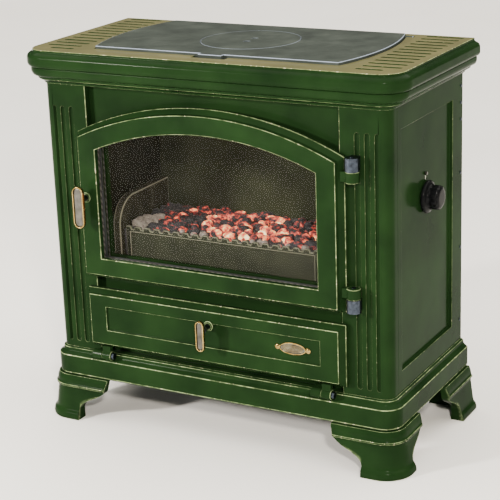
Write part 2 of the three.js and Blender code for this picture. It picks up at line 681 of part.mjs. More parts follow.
// ---- Arched door ----
const rimDepth = recessDepth - sealDepth;
const paneGap = 1.2;
const upperLug = [archSpring - 20, archSpring - 20 + lugHeight];
const lowerLug = [doorBottom + 6, doorBottom + 6 + lugHeight];
const upperKnuckle = [upperLug[0] - joint - knuckleHeight, upperLug[0] - joint];
const lowerKnuckle = [lowerLug[1] + joint, lowerLug[1] + joint + knuckleHeight];
function addDoor() {
  const outline = (grow) => arched(doorHalf - grow, doorBottom + grow, archRadius - grow);
  const step = doorBevel / 2;
  const layers = [
    acrossY(outline(0), doorFace + 13, -doorGap, 20),
    acrossY(outline(step), doorFace + 5, doorFace + 14, 20),
    acrossY(outline(doorBevel), doorFace, doorFace + 6, 20),
    acrossY(arched(rimHalf, rimBottom, rimRadius), -doorGap - 1, rimDepth, 20),
  ];
  const opening = arched(windowHalf, windowBottom, archRadius - headWidth);
  const light = acrossY(opening, doorFace - 1, recessDepth, 20);
  const rebate = acrossY(
    arched(rimHalf - rimWall, rimBottom + rimWall, rimRadius - rimWall),
    doorFace + lipThickness,
    recessDepth,
    20,
  );
  const knuckles = [upperKnuckle, lowerKnuckle].map(([z0, z1]) =>
    join(
      rod("z", hingeRadius, z0, z1, [hingeX, hingeAxisY], 20),
      box(doorHalf - 4, hingeX - 2, hingeAxisY - 6, hingeAxisY + 7, z0, z1),
    ));
  const pinBores = [upperKnuckle, lowerKnuckle].map(([z0, z1]) =>
    rod("z", hingePinRadius + joint, z0 - 1, z1 + 1, [hingeX, hingeAxisY], 12));
  const spindleBore = rod("y", spindleRadius + joint, doorFace - 1, recessDepth, [spindleX, spindleZ]);
  const frame = cut(join(...layers, ...knuckles), light, rebate, ...pinBores, spindleBore);
  place(door, "door_frame", frame, enamel);

  const pane = (shrink) =>
    arched(rimHalf - rimWall - shrink, rimBottom + rimWall + shrink, rimRadius - rimWall - shrink);
  const border = (shrink, width) => holed(pane(shrink), pane(shrink + width));
  const gasketY = doorFace + lipThickness + joint;
  const glassY = gasketY + gasketThickness + joint;
  const retainerY = glassY + glassThickness + joint;
  const gasket = acrossY(border(paneGap, 5.5), gasketY, gasketY + gasketThickness, 20);
  place(door, "glass_gasket", gasket, ropeFibre);
  place(door, "door_glass", acrossY(pane(paneGap), glassY, glassY + glassThickness, 20), ceramicGlass);
  const retainer = acrossY(border(joint, 6), retainerY, retainerY + retainerThickness, 20);
  place(door, "glass_retaining_frame", retainer, sheetSteel);
  const rope = holed(
    arched(rimHalf - 0.5, rimBottom + 0.5, rimRadius - 0.5),
    arched(rimHalf - rimWall + 0.5, rimBottom + rimWall - 0.5, rimRadius - rimWall + 0.5),
  );
  place(door, "door_rope_seal", acrossY(rope, rimDepth + joint, recessDepth - joint, 20), ropeFibre);
}

function addHinges() {
  for (const [name, lug, knuckle] of [["upper", upperLug, upperKnuckle], ["lower", lowerLug, lowerKnuckle]]) {
    const barrel = rod("z", hingeRadius + 0.5, ...lug, [hingeX, hingeAxisY], 20);
    const leaf = box(hingeX - 8, hingeX + 8, hingeAxisY, -joint, ...lug);
    const bore = rod("z", hingePinRadius + joint, lug[0] - 1, lug[1] + 1, [hingeX, hingeAxisY], 12);
    place(stove, `hinge_lug_${name}`, cut(join(barrel, leaf), bore), steel);
    const pinSpan = [Math.min(lug[0], knuckle[0]) + 1, Math.max(lug[1], knuckle[1]) + 1.5];
    place(stove, `hinge_pin_${name}`, rod("z", hingePinRadius, ...pinSpan, [hingeX, hingeAxisY], 12), steel);
  }
}

// ---- Handles: a spindle with an oblong grip, its inlay and the latch tongue behind ----
function addHandle(parent, prefix, at, face, grip, tongue) {
  const [x, z] = at;
  const gripBack = face - gripStandoff;
  const gripFront = gripBack - gripDepth;
  const top = z + grip.above;
  const bottom = top - grip.height;
  const half = grip.width / 2;
  const rim = stadium(x - half, x + half, bottom, top);
  const inset = gripWall + 0.3;
  const recess = stadium(x - half + gripWall, x + half - gripWall, bottom + gripWall, top - gripWall);
  const inlay = stadium(x - half + inset, x + half - inset, bottom + inset, top - inset);
  const shell = cut(acrossY(rim, gripFront, gripBack, 8), acrossY(recess, gripFront - 1, gripFront + 3.5, 8));
  place(parent, `${prefix}_grip`, shell, brass);
  place(parent, `${prefix}_inlay`, acrossY(inlay, gripFront + 1.2, gripFront + 3.5 - 0.3, 8), nickel);
  const spindle = join(
    rod("y", spindleRadius, gripBack + joint, tongue.y[1], [x, z], 16),
    rod("y", spindleRadius + 3.5, gripBack + joint, gripBack + 6, [x, z], 16),
    tongue.solid,
  );
  place(parent, `${prefix}_spindle`, spindle, steel);
  const escutcheon = cut(
    rod("y", spindleRadius + 4.5, face - 5, face - joint, [x, z], 20),
    rod("y", spindleRadius + joint, face - 6, face + 1, [x, z], 16),
  );
  place(parent, `${prefix}_escutcheon`, escutcheon, enamel);
}

function addHandles() {
  const doorTongue = {
    y: [0, 10],
    solid: box(spindleX - tongueReach, spindleX, 4, 10, spindleZ - 4, spindleZ + 4),
  };
  const doorGrip = { above: 27, height: 78, width: 24 };
  addHandle(door, "door_handle", [spindleX, spindleZ], doorFace, doorGrip, doorTongue);
  const ashTongue = {
    y: [0, ashPlugBack + joint + 4],
    solid: box(-4, 4, ashPlugBack + joint, ashPlugBack + joint + 4, ashSpindleZ, ashSpindleZ + 16),
  };
  const ashGrip = { above: 20, height: 58, width: 18 };
  addHandle(ashDoor, "ash_handle", [0, ashSpindleZ], ashFace, ashGrip, ashTongue);
}

// ---- Ash door, hinged along its bottom edge ----
const ashPlugBack = 9;
const ashPanelRecess = 4;
const ashKnuckles = [-1, 1].map((side) => {
  const start = side * (ashHalf - ashHingeInset) - ashKnuckleWidth / 2;
  const fixed = [start - joint - ashKnuckleWidth, start - joint];
  return { fixed, moving: [start, start + ashKnuckleWidth] };
});
const badge = { x: 163, half: 34, high: 11 };
function addAshDoor() {
  const layer = (grow, y0, y1) =>
    box(-ashHalf + grow, ashHalf - grow, y0, y1, ashBottom + grow, ashTop - grow);
  const field = [ashBottom + 37, ashTop - 31];
  const panel = box(-ashHalf + 44, ashHalf - 44, ashFace - 1, ashFace + ashPanelRecess, ...field);
  const plug = box(-ashPlugHalf, ashPlugHalf, -doorGap - 1, ashPlugBack, ashBottom + ashPlugInset,
    ashTop - ashPlugInset);
  const knuckles = ashKnuckles.map(({ moving }) =>
    join(
      rod("x", ashHingeRadius, ...moving, [ashHingeY, ashHingeZ], 20),
      box(moving[0], moving[1], ashHingeY - 4, ashHingeY + 5, ashHingeZ, ashBottom + 2),
    ));
  const bores = ashKnuckles.map(({ moving }) =>
    rod("x", hingePinRadius - 1 + joint, moving[0] - 1, moving[1] + 1, [ashHingeY, ashHingeZ], 12));
  const spindleBore = rod("y", spindleRadius + joint, ashFace - 1, ashPlugBack + 1, [0, ashSpindleZ]);
  const casting = cut(
    join(
      layer(0, ashFace + 8, -doorGap),
      layer(ashBevel / 2, ashFace + 4, ashFace + 9),
      layer(ashBevel, ashFace, ashFace + 5),
      plug,
      ...knuckles,
    ),
    panel,
    ...bores,
    spindleBore,
  );
  place(ashDoor, "ash_door", casting, enamel);
  const [plugBottom, plugTop] = [ashBottom + ashPlugInset, ashTop - ashPlugInset];
  const sealed = (inset) =>
    rectangle(-ashPlugHalf + inset, ashPlugHalf - inset, plugBottom + inset, plugTop - inset);
  const rope = acrossY(holed(sealed(0.5), sealed(ashSealWidth)), ashPlugBack + joint, recessDepth - joint);
  place(ashDoor, "ash_door_rope_seal", rope, ropeFibre);
  const badgeZ = (field[0] + field[1]) / 2;
  const oval = new THREE.Shape();
  oval.absellipse(badge.x, badgeZ, badge.half, badge.high, 0, 2 * Math.PI, false);
  const plateY = ashFace + ashPanelRecess;
  place(ashDoor, "maker_badge", acrossY(oval, plateY - 3, plateY - joint, 12), brass);
  for (const [i, { fixed, moving }] of ashKnuckles.entries()) {
    const side = i ? "right" : "left";
    const barrel = join(
      rod("x", ashHingeRadius, ...fixed, [ashHingeY, ashHingeZ], 20),
      box(Math.max(fixed[0], -bayHalf + joint), fixed[1], ashHingeY, recessDepth - joint, bodyBottom + joint,
        ashHingeZ + ashHingeRadius - 1),
    );
    const bore = rod("x", hingePinRadius - 1 + joint, fixed[0] - 1, fixed[1] + 1, [ashHingeY, ashHingeZ], 12);
    place(stove, `ash_hinge_lug_${side}`, cut(barrel, bore), enamel);
    const pin = join(
      rod("x", hingePinRadius - 1, fixed[0] + 1, moving[1] + 4, [ashHingeY, ashHingeZ], 12),
      rod("x", hingePinRadius + 2, moving[1] + joint, moving[1] + 5, [ashHingeY, ashHingeZ], 12),
    );
    place(stove, `ash_hinge_pin_${side}`, pin, steel);
  }
}

// ---- Thermostat: knob and shaft on the right, bulb housing inside, flap over the air inlet behind ----
function addThermostat() {
  const skirt = halfWidth - panelRecess + 3;
  const capRadius = knobRadius - 7;
  const profile = [[0, 0], [knobRadius - 2, 0], [knobRadius, 2], [knobRadius, 5], [knobRadius - 5, 8],
    [capRadius - 2, 10], [capRadius, 14], [capRadius, 24], [capRadius - 3, 27], [0, 28]];
  const knob = turned(profile, "x", [skirt, knobY, knobZ], 24);
  place(stove, "thermostat_knob", knob, bakelite);
  const housing = { deep: 26, half: 24 };
  const housingInner = skinInner - joint - housing.deep;
  const shaft = rod("x", 4, housingInner + 6, skirt - joint, [knobY, knobZ], 12);
  place(stove, "thermostat_shaft", shaft, steel);
  const shell = cut(
    box(housingInner, skinInner - joint, knobY - housing.half, knobY + housing.half, knobZ - housing.half,
      knobZ + housing.half),
    rod("x", 4 + joint, housingInner + 4, sideInner + 1, [knobY, knobZ], 12),
  );
  place(stove, "thermostat_housing", shell, sheetSteel);
  const pointer = rod("x", 3, halfWidth - panelRecess + joint, halfWidth - panelRecess + 4,
    [knobY, knobZ + knobRadius + 12], 10);
  place(stove, "index_stud", pointer, nickel);

  const flapY = back + 6;
  const earInner = inlet.halfW + 6 - joint;
  const flapHalf = inlet.halfW + 5;
  const flap = join(
    box(inlet.x - flapHalf, inlet.x + flapHalf, back + 2, back + 4, inlet.bottom - 6, inlet.top + 8),
    rod("x", 3, inlet.x - earInner, inlet.x + earInner, [flapY - 1, inlet.top + 8], 12),
  );
  place(stove, "air_flap", flap, sheetSteel);
  for (const side of [-1, 1]) {
    const x0 = inlet.x + side * (inlet.halfW + 8);
    const span = [Math.min(x0 - 2, x0 + 2), Math.max(x0 - 2, x0 + 2)];
    const ear = box(...span, back + joint, back + 10, inlet.top, inlet.top + 16);
    place(stove, `flap_bracket_${side < 0 ? "left" : "right"}`, ear, sheetSteel);
  }
}

addFeet();
addPlinth();
addFrontFrame();
addPanels();
addBack();
addCornice();
addTop();
addHotPlate();
addFirebox();
addAshPan();
addDoor();
addHinges();
addAshDoor();
addHandles();
addThermostat();

export default stove;
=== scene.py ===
import math
import random

import bmesh
import bpy
from mathutils import Matrix, Vector, noise


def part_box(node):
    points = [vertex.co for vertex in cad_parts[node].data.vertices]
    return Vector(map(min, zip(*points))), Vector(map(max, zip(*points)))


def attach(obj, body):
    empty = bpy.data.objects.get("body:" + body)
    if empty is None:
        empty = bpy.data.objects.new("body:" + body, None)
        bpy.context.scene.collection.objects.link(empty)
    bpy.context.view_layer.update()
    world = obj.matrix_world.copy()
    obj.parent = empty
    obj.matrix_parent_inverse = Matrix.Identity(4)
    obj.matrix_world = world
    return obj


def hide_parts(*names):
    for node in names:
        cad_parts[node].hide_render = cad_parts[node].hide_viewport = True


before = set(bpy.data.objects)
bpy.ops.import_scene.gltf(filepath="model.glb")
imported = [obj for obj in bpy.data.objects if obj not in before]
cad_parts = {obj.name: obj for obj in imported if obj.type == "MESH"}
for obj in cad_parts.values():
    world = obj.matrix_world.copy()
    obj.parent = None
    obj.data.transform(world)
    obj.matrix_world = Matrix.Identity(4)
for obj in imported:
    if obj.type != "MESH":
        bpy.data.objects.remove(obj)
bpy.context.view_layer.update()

# ---- Studio ----
# A wide sheet of matt white paper lies under the stove. A soft ceiling lights it evenly, two small lamps in
# front shine through the window, and a warm soft box stands on the right.
MM = 0.001
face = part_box("front_frame")[0].y


def at(x, y, z):
    """A point in millimetres: across from the middle, back from the pilasters' faces, up from the floor."""
    return Vector((x * MM, face + y * MM, z * MM))


def linear(code):
    """An sRGB hex colour as the linear colour that a shader takes."""
    parts = [int(code[i:i + 2], 16) / 255 for i in (1, 3, 5)]
    return tuple(c / 12.92 if c <= 0.04045 else ((c + 0.055) / 1.055) ** 2.4 for c in parts) + (1.0,)


def add(tree, kind, inputs=(), **settings):
    """Adds a shader node, sets its settings, and gives each input a value or another node's output."""
    made = tree.nodes.new("ShaderNode" + kind)
    for name, value in settings.items():
        setattr(made, name, value)
    for name, value in dict(inputs).items():
        if isinstance(value, bpy.types.NodeSocket):
            tree.links.new(value, made.inputs[name])
        else:
            made.inputs[name].default_value = value
    return made


def new_material(name):
    """An empty material, its node tree, and the piece's own coordinates, which lay out its patterns."""
    made = bpy.data.materials.new(name)
    made.use_nodes = True
    made.node_tree.nodes.clear()
    tree = made.node_tree
    place = tree.nodes.new("ShaderNodeTexCoord").outputs["Object"]
    return made, tree, place


def ramp(tree, factor, *stops):
    """A colour ramp whose stops are (position, sRGB hex) pairs."""
    made = add(tree, "ValToRGB", {"Fac": factor})
    elements = made.color_ramp.elements
    while len(elements) < len(stops):
        elements.new(0.5)
    for element, (position, code) in zip(elements, stops):
        element.position = position
        element.color = linear(code)
    return made.outputs["Color"]


def grain(tree, place, size, detail=2.0, rough=0.5):
    """Noise whose lumps are about the given size in millimetres."""
    return add(tree, "TexNoise", {"Vector": place, "Scale": 1 / (size * MM), "Detail": detail,
                                  "Roughness": rough}).outputs["Fac"]


def bump(tree, height, depth, under=None):
    """Relief of the given depth in millimetres."""
    inputs = {"Height": height, "Distance": depth * MM, "Strength": 1.0}
    if under:
        inputs["Normal"] = under
    return add(tree, "Bump", inputs).outputs["Normal"]


def finish_surface(tree, **inputs):
    """Ends a material: its shader's inputs by their own names, with _ for a space."""
    shader = add(tree, "BsdfPrincipled", {name.replace("_", " "): value for name, value in inputs.items()})
    add(tree, "OutputMaterial", {"Surface": shader.outputs["BSDF"]})


# Paper is matt all over. Its tooth is drawn at 2 mm, coarser than real, so that it shows.
paper, tree, place = new_material("matt white background paper")
finish_surface(tree, Base_Color=ramp(tree, grain(tree, place, 900), (0.3, "#f0eeea"), (0.7, "#f6f5f2")),
               Roughness=0.9, Normal=bump(tree, grain(tree, place, 2), 0.05))

SHEET_HALF = 15.0  # metres
sheet = bpy.data.meshes.new("paper_sheet")
sheet.from_pydata([(-SHEET_HALF, -SHEET_HALF, 0), (SHEET_HALF, -SHEET_HALF, 0), (SHEET_HALF, SHEET_HALF, 0),
                   (-SHEET_HALF, SHEET_HALF, 0)], [], [(0, 1, 2, 3)])
sheet.materials.append(paper)
floor = bpy.data.objects.new("paper_sheet", sheet)
bpy.context.scene.collection.objects.link(floor)

world = bpy.data.worlds.new("studio")
world.use_nodes = True
world.node_tree.nodes["Background"].inputs["Color"].default_value = linear("#f3f1ee")
world.node_tree.nodes["Background"].inputs["Strength"].default_value = 0.16
bpy.context.scene.world = world


def soft_box(name, place, aim, width, height, power, tint):
    """A rectangular lamp. Places and sizes are in metres and power is in watts."""
    light = bpy.data.lights.new(name, "AREA")
    light.shape, light.size, light.size_y = "RECTANGLE", width, height
    light.energy = power
    light.color = linear(tint)[:3]
    lamp = bpy.data.objects.new(name, light)
    lamp.location = place
    lamp.rotation_euler = (Vector(aim) - Vector(place)).to_track_quat("-Z", "Y").to_euler()
    bpy.context.scene.collection.objects.link(lamp)


soft_box("key_left", (-1.75, -2.5, 1.35), (0, 0, 0.35), 0.26, 0.26, 165, "#fff8ee")
soft_box("key_right", (1.62, -2.42, 1.75), (0, 0, 0.35), 0.22, 0.22, 110, "#fff6e8")
soft_box("side_right", (2.8, 0.1, 1.5), (0.2, 0, 0.35), 1.0, 1.4, 15, "#ffefcc")

ceiling = bpy.data.objects.new("soft_ceiling", bpy.data.lights.new("soft_ceiling", "SUN"))
CEILING_POWER, CEILING_SPREAD, CEILING_LEAN = 6.4, 100, -12  # watts per square metre, and degrees
ceiling.data.energy, ceiling.data.angle = CEILING_POWER, math.radians(CEILING_SPREAD)
ceiling.data.color = linear("#fff9ee")[:3]
ceiling.rotation_euler = (math.radians(CEILING_LEAN), 0, 0)
bpy.context.scene.collection.objects.link(ceiling)

CAMERA_PLACE = (1313.0, -2229.3, 1197.7)
CAMERA_TURN, CAMERA_DIP, CAMERA_TILT, CAMERA_LENS, FILM_WIDTH = 29.05, 17.91, -2.1, 112.4, 36.0
turn, dip, tilt = (math.radians(a) for a in (CAMERA_TURN, CAMERA_DIP, CAMERA_TILT))
ahead = Vector((-math.sin(turn) * math.cos(dip), math.cos(turn) * math.cos(dip), -math.sin(dip)))
level = Vector((math.cos(turn), math.sin(turn), 0))
upright = level.cross(ahead)
right = level * math.cos(tilt) + upright * math.sin(tilt)
upward = upright * math.cos(tilt) - level * math.sin(tilt)
camera = bpy.data.objects.new("camera", bpy.data.cameras.new("camera"))
camera.matrix_world = Matrix.Translation(at(*CAMERA_PLACE)) @ Matrix((right, upward,
                                                                      -ahead)).transposed().to_4x4()
camera.data.lens, camera.data.sensor_width = CAMERA_LENS, FILM_WIDTH
bpy.context.scene.collection.objects.link(camera)
bpy.context.scene.camera = camera

# ---- Plinth and cornice ----
# Two mouldings cast in grey iron and dipped in dark green vitreous enamel, a glass fired onto the metal.
# It lies as a deep gloss with a slight ripple, and draws thin along every edge, where it turns pale. The pale
# edge lines and cream chips are also painted highlights and sparkles of the lamps.
ENAMEL_IOR = 1.07  # at glass's 1.5 the white studio would veil the dark green
body = [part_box("front_frame"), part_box("back_panel")]
HALF = body[0][1].x / MM
BACK = (body[1][1].y - face) / MM
FOOT_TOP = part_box("foot_front_right")[1].z / MM
PLINTH = [z.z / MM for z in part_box("plinth")]
CORNICE = [z.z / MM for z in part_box("cornice")]
TOP = [z.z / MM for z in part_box("top_plate")]
CORNER = 20.0


def vitreous_enamel(name, deep, body_tone, edge_mark, faded_and_lit_top=None):
    made, tree, place = new_material(name)
    cloud = grain(tree, place, 90, 3)
    tone = ramp(tree, cloud, (0.25, deep), (0.75, body_tone))
    # Up-facing faces on the flat top take the olive tone: partly heat-faded enamel, partly painted light from
    # the lamps above.
    if faded_and_lit_top:
        facing = add(tree, "SeparateXYZ", {"Vector": add(tree, "NewGeometry").outputs["Normal"]}).outputs["Z"]
        upward = add(tree, "MapRange", {"Value": facing, "From Min": 0.6, "From Max": 0.95}).outputs["Result"]
        height = add(tree, "SeparateXYZ", {"Vector": place}).outputs["Z"]
        flat_top = add(tree, "MapRange", {"Value": height, "From Min": (TOP[1] - 3) * MM,
                                          "From Max": (TOP[1] - 0.5) * MM}).outputs["Result"]
        upward_only = add(tree, "Math", {0: upward, 1: flat_top}, operation="MULTIPLY").outputs[0]
        tone = add(tree, "MixRGB", {"Fac": upward_only, "Color1": tone,
                                    "Color2": ramp(tree, grain(tree, place, 60, 4), (0.3, faded_and_lit_top[0]),
                                                   (0.7, faded_and_lit_top[1]))}).outputs["Color"]
    # Marked edges turn pale, partly thin enamel and partly a painted highlight, broken up by noise the way lamp
    # highlights break.
    edge = add(tree, "MapRange", {"Value": add(tree, "Attribute", attribute_name="edge").outputs["Fac"],
                                  "From Min": 0.55}).outputs["Result"]
    broken_highlight = add(tree, "MapRange", {"Value": grain(tree, place, 14, 3), "From Min": 0.35, "From Max": 0.65,
                                    "To Min": 0.15, "To Max": 0.85}).outputs["Result"]
    pale_edge_highlight = add(tree, "Math", {0: edge, 1: broken_highlight}, operation="MULTIPLY").outputs[0]
    tone = add(tree, "MixRGB", {"Fac": pale_edge_highlight, "Color1": tone, "Color2": linear(edge_mark)}).outputs["Color"]
    # Cream chips on the edges are partly chipped enamel and partly painted sparkles of the lamps.
    chip_and_sparkle = add(tree, "MapRange", {"Value": grain(tree, place, 5, 2), "From Min": 0.62,
                                  "From Max": 0.68}).outputs["Result"]
    chip_and_sparkle_mask = add(tree, "Math", {0: chip_and_sparkle, 1: edge}, operation="MULTIPLY").outputs[0]
    tone = add(tree, "MixRGB", {"Fac": chip_and_sparkle_mask, "Color1": tone, "Color2": linear("#b9b798")}).outputs["Color"]
    ripple = bump(tree, grain(tree, place, 45, 1), 0.35)
    peel = bump(tree, grain(tree, place, 3.5, 1), 0.012, ripple)
    sheen = add(tree, "MapRange", {"Value": grain(tree, place, 25, 4), "To Min": 0.09,
                                   "To Max": 0.22}).outputs["Result"]
    finish_surface(tree, Base_Color=tone, Roughness=sheen, IOR=ENAMEL_IOR, Normal=peel)
    return made


# 8a9b70 is the pale edge colour: thin enamel and a painted highlight.
green = vitreous_enamel("vitreous enamel, fired dark green", "#0f1f0e", "#1a2f16", "#8a9b70")
SHARP = 2.5  # a corner rounded by less than this is an edge, where the enamel runs thin and a highlight is painted pale


def soften(corners, steps=4):
    """A profile through (across, along, radius) corners. Each corner is rounded by its radius. A tight outer one
    is marked 1, where the enamel runs thin and a highlight is painted pale; a broad one, and a hollow one of
    negative radius, stay unmarked."""
    line = []
    for i, (u, v, radius) in enumerate(corners):
        if not radius or i in (0, len(corners) - 1):
            line.append((u, v, 0.0))
            continue
        here = Vector((u, v))
        to_last = Vector(corners[i - 1][:2]) - here
        to_next = Vector(corners[i + 1][:2]) - here
        reach = min(abs(radius), to_last.length * 0.48, to_next.length * 0.48)
        start, end = here + to_last.normalized() * reach, here + to_next.normalized() * reach
        for k in range(steps + 1):
            t = k / steps
            point = start * (1 - t) ** 2 + here * 2 * t * (1 - t) + end * t ** 2
            line.append((point.x, point.y, float(0 < radius < SHARP and 0 < k < steps)))
    return line


def arc(cu, cv, radius, start, end, steps):
    """Points on an arc, its angles in degrees."""
    angles = [math.radians(start + (end - start) * i / steps) for i in range(steps + 1)]
    return [(cu + radius * math.cos(a), cv + radius * math.sin(a)) for a in angles]


def plan(over):
    """The stove's plan outline, grown by an overhang in front and at the sides, flush behind."""
    half, radius = HALF + over, CORNER + over
    rear = BACK + min(over, 0)
    right_arc = arc(half - radius, radius - over, radius, 0, -90, 12)
    left_arc = arc(-half + radius, radius - over, radius, -90, -180, 12)
    return [(half, rear)] + right_arc + left_arc + [(-half, rear)]


def new_form():
    form = bmesh.new()
    form.verts.layers.float.new("edge")
    return form


def loft(form, rows, ring=False, cap_first=False, cap_last=False):
    """Joins rows of ((x, y, z), edge) points, each to the next. Returns the rows of vertices."""
    edge = form.verts.layers.float["edge"]
    made = []
    for row in rows:
        verts = [form.verts.new(at(*point)) for point, _ in row]
        for vert, (_, edge_mark) in zip(verts, row):
            vert[edge] = edge_mark
        made.append(verts)
    for a, b in zip(made, made[1:] + (made[:1] if ring else [])):
        for i in range(len(a)):
            form.faces.new((a[i - 1], a[i], b[i], b[i - 1]))
    for wanted, row in ((cap_first, made[0]), (cap_last, made[-1])):
        if wanted:
            form.faces.new(row)
    return made


def fill(form, *loops):
    """A flat face between an outer loop of vertices and the loops of its holes."""
    edges = []
    for verts in loops:
        for a, b in zip(verts, verts[1:] + verts[:1]):
            edges.append(form.edges.get((a, b)) or form.edges.new((a, b)))
    bmesh.ops.triangle_fill(form, use_beauty=True, edges=edges)


def flat_on(axis, level):
    """Turns an outline point into a point on a plane across x, y or z."""
    return {"x": lambda u, v: (level, u, v), "y": lambda u, v: (u, level, v), "z": lambda u,
            v: (u, v, level)}[axis]


def stacked(axis, rows):
    """Rows for loft from (outline, level, edge): each outline lies across the axis at its level."""
    return [[(flat_on(axis, level)(u, v), edge_mark) for u, v in outline] for outline, level, edge_mark in rows]


WELD, CRISP = 0.01, 35  # points nearer than this in mm are one; folds steeper than this in degrees stay crisp


def finish_piece(form, name, material, body, slot, *nodes):
    """Makes the piece: welds it, turns its faces out, smooths what is round, hangs it on its body and hides the
    CAD parts it replaces.
    """
    bmesh.ops.remove_doubles(form, verts=form.verts, dist=WELD * MM)
    bmesh.ops.recalc_face_normals(form, faces=form.faces)
    mesh = bpy.data.meshes.new(name)
    form.to_mesh(mesh)
    form.free()
    mesh.polygons.foreach_set("use_smooth", [True] * len(mesh.polygons))
    mesh.set_sharp_from_angle(angle=math.radians(CRISP))
    mesh.materials.append(material)
    piece = bpy.data.objects.new(name, mesh)
    bpy.context.scene.collection.objects.link(piece)
    even = piece.modifiers.new("even_shading", "WEIGHTED_NORMAL")
    even.keep_sharp = True
    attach(piece, body)
    if nodes:
        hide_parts(*nodes)


low, high = PLINTH
plinth_line = soften([(-14, low, 0), (11.5, low, 2.6), (13, low + 3, 1.5), (13, high - 15, 1.6),
                      (10.5, high - 13, 0),
                      (5, high - 9, -5), (4.2, high - 2.5, 1), (0.5, high, 0.6), (-14, high, 0)])
form = new_form()
loft(form, stacked("z", [(plan(over), z, edge_mark) for over, z, edge_mark in plinth_line]), ring=True)
finish_piece(form, "plinth_moulding", green, "stove", "green_enamel", "plinth")

low, high = CORNICE
cornice_line = soften([(-12, low, 0), (3, low, 0.6), (4.5, low + 3.5, -4), (12.5, low + 8, 1.2),
                       (14.2, low + 9.5, -1.0),
                       (14.4, low + 12.5, -1), (22.5, low + 15.5, 6), (26, low + 22, 3),
                       (26, high - 0.5, 2.6),
                       (23, high, 0), (-12, high, 0)])
form = new_form()
loft(form, stacked("z", [(plan(over), z, edge_mark) for over, z, edge_mark in cornice_line]), ring=True)
finish_piece(form, "cornice_moulding", green, "stove", "green_enamel", "cornice")

# ---- Top plate ----
# A cast plate with a rolled edge, thirteen warm-air slots at each end and a rebate for the hot plate. Its flat
# top is drawn a dull olive, still glossy. This is partly enamel faded by years of heat and partly painted light
# from above, on the faces that look up.
# The top's olive is partly heat-faded enamel and partly painted light from above. #8a9468 is the pale edge
# colour: thin enamel and a painted highlight.
top_enamel = vitreous_enamel("vitreous enamel, heat-faded and painted lit olive on top", "#0f1f0e", "#1a2f16", "#8a9468",
                             ("#56553a", "#656243"))
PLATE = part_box("hot_plate")
PLATE_HALF, PLATE_BULGE, PLATE_FRONT, PLATE_REAR = 236.0, 23.0, 27.0, BACK - 19.0
PLATE_TOP = PLATE[1].z / MM
PLATE_UNDER = PLATE_TOP - 10.5
SEAT_GAP, LEDGE, THROAT_FLOOR = 1.6, 10.0, TOP[1] - 14.0
AXLE_Y, AXLE_Z = PLATE_REAR - 4.0, TOP[1] - 3.0
SLOTS, SLOT_WIDE, SLOT_IN, SLOT_OUT = 13, 8.0, 273.0, 343.0
FIRST_SLOT, SLOT_ROW, CORNER_CUT = 13, BACK - 24, 22


def grown(outline, by):
    """A closed counter-clockwise outline moved outwards, its corners kept."""
    moved = []
    for i, (u, v) in enumerate(outline):
        before, after = outline[i - 1], outline[(i + 1) % len(outline)]
        a = Vector((u - before[0], v - before[1])).normalized()
        b = Vector((after[0] - u, after[1] - v)).normalized()
        out_a, out_b = Vector((a.y, -a.x)), Vector((b.y, -b.x))
        mitre = (out_a + out_b) / (1 + out_a.dot(out_b)) * by
        moved.append((u + mitre.x, v + mitre.y))
    return moved


def stadium(u0, u1, v0, v1, steps=8):
    """A slot's outline, round at both ends."""
    if u1 - u0 > v1 - v0:
        r, middle = (v1 - v0) / 2, (v0 + v1) / 2
        return arc(u1 - r, middle, r, -90, 90, steps) + arc(u0 + r, middle, r, 90, 270, steps)
    r, middle = (u1 - u0) / 2, (u0 + u1) / 2
    return arc(middle, v1 - r, r, 0, 180, steps) + arc(middle, v0 + r, r, 180, 360, steps)


def circle(cu, cv, radius, steps=64):
    return arc(cu, cv, radius, 0, 360 * (steps - 1) / steps, steps - 1)


def bulged_ends(grow):
    """The hot plate's two curved ends, as right-hand and left-hand arcs."""
    reach = (PLATE_REAR - PLATE_FRONT) / 2 + grow
    radius = (reach ** 2 + PLATE_BULGE ** 2) / (2 * PLATE_BULGE)
    lean = math.degrees(math.asin(reach / radius))
    centre = PLATE_HALF + grow + PLATE_BULGE - radius
    middle = (PLATE_FRONT + PLATE_REAR) / 2
    return arc(centre, middle, radius, -lean, lean, 24), arc(-centre, middle, radius, 180 - lean, 180 + lean,
                                                             24)


TAB_HALF, NOTCH_HALF, NOTCH_DEEP = 22.5, 32.5, 15.0
WELL_HALF, WELL_REAR, CUP_HALF, CUP = PLATE_HALF + 5, AXLE_Y + 10.5, PLATE_HALF + 18.5, 4.3
right_end = bulged_ends(SEAT_GAP)[0]
front = PLATE_FRONT - SEAT_GAP
below_cup = [p for p in right_end if p[1] < AXLE_Y - CUP - 1]
seat = ([(-NOTCH_HALF, front), (-NOTCH_HALF, front - NOTCH_DEEP), (NOTCH_HALF, front - NOTCH_DEEP),
         (NOTCH_HALF, front)] + below_cup
        + [(CUP_HALF, AXLE_Y - CUP), (CUP_HALF, AXLE_Y + CUP), (WELL_HALF, AXLE_Y + CUP),
           (WELL_HALF, WELL_REAR),
           (-WELL_HALF, WELL_REAR), (-WELL_HALF, AXLE_Y + CUP), (-CUP_HALF, AXLE_Y + CUP),
           (-CUP_HALF, AXLE_Y - CUP)]
        + [(-u, v) for u, v in reversed(below_cup)])
right_end = bulged_ends(-LEDGE)[0]
well_front = PLATE_REAR - LEDGE - 1
throat_side = [p for p in right_end if p[1] < well_front - 1]
throat_side += [(throat_side[-1][0], well_front), (WELL_HALF - 0.8, well_front),
                (WELL_HALF - 0.8, WELL_REAR - 0.8)]
throat = throat_side + [(-u, v) for u, v in reversed(throat_side)]
low, high = TOP
top_line = soften([(-12, low, 0), (28, low, 2.6), (32, low + 5, 5), (31.7, high - 9.5, 6),
                   (21.4, high - 4.6, -1.4),
                   (21.1, high, 1.6), (18.5, high, 0)])
form = new_form()
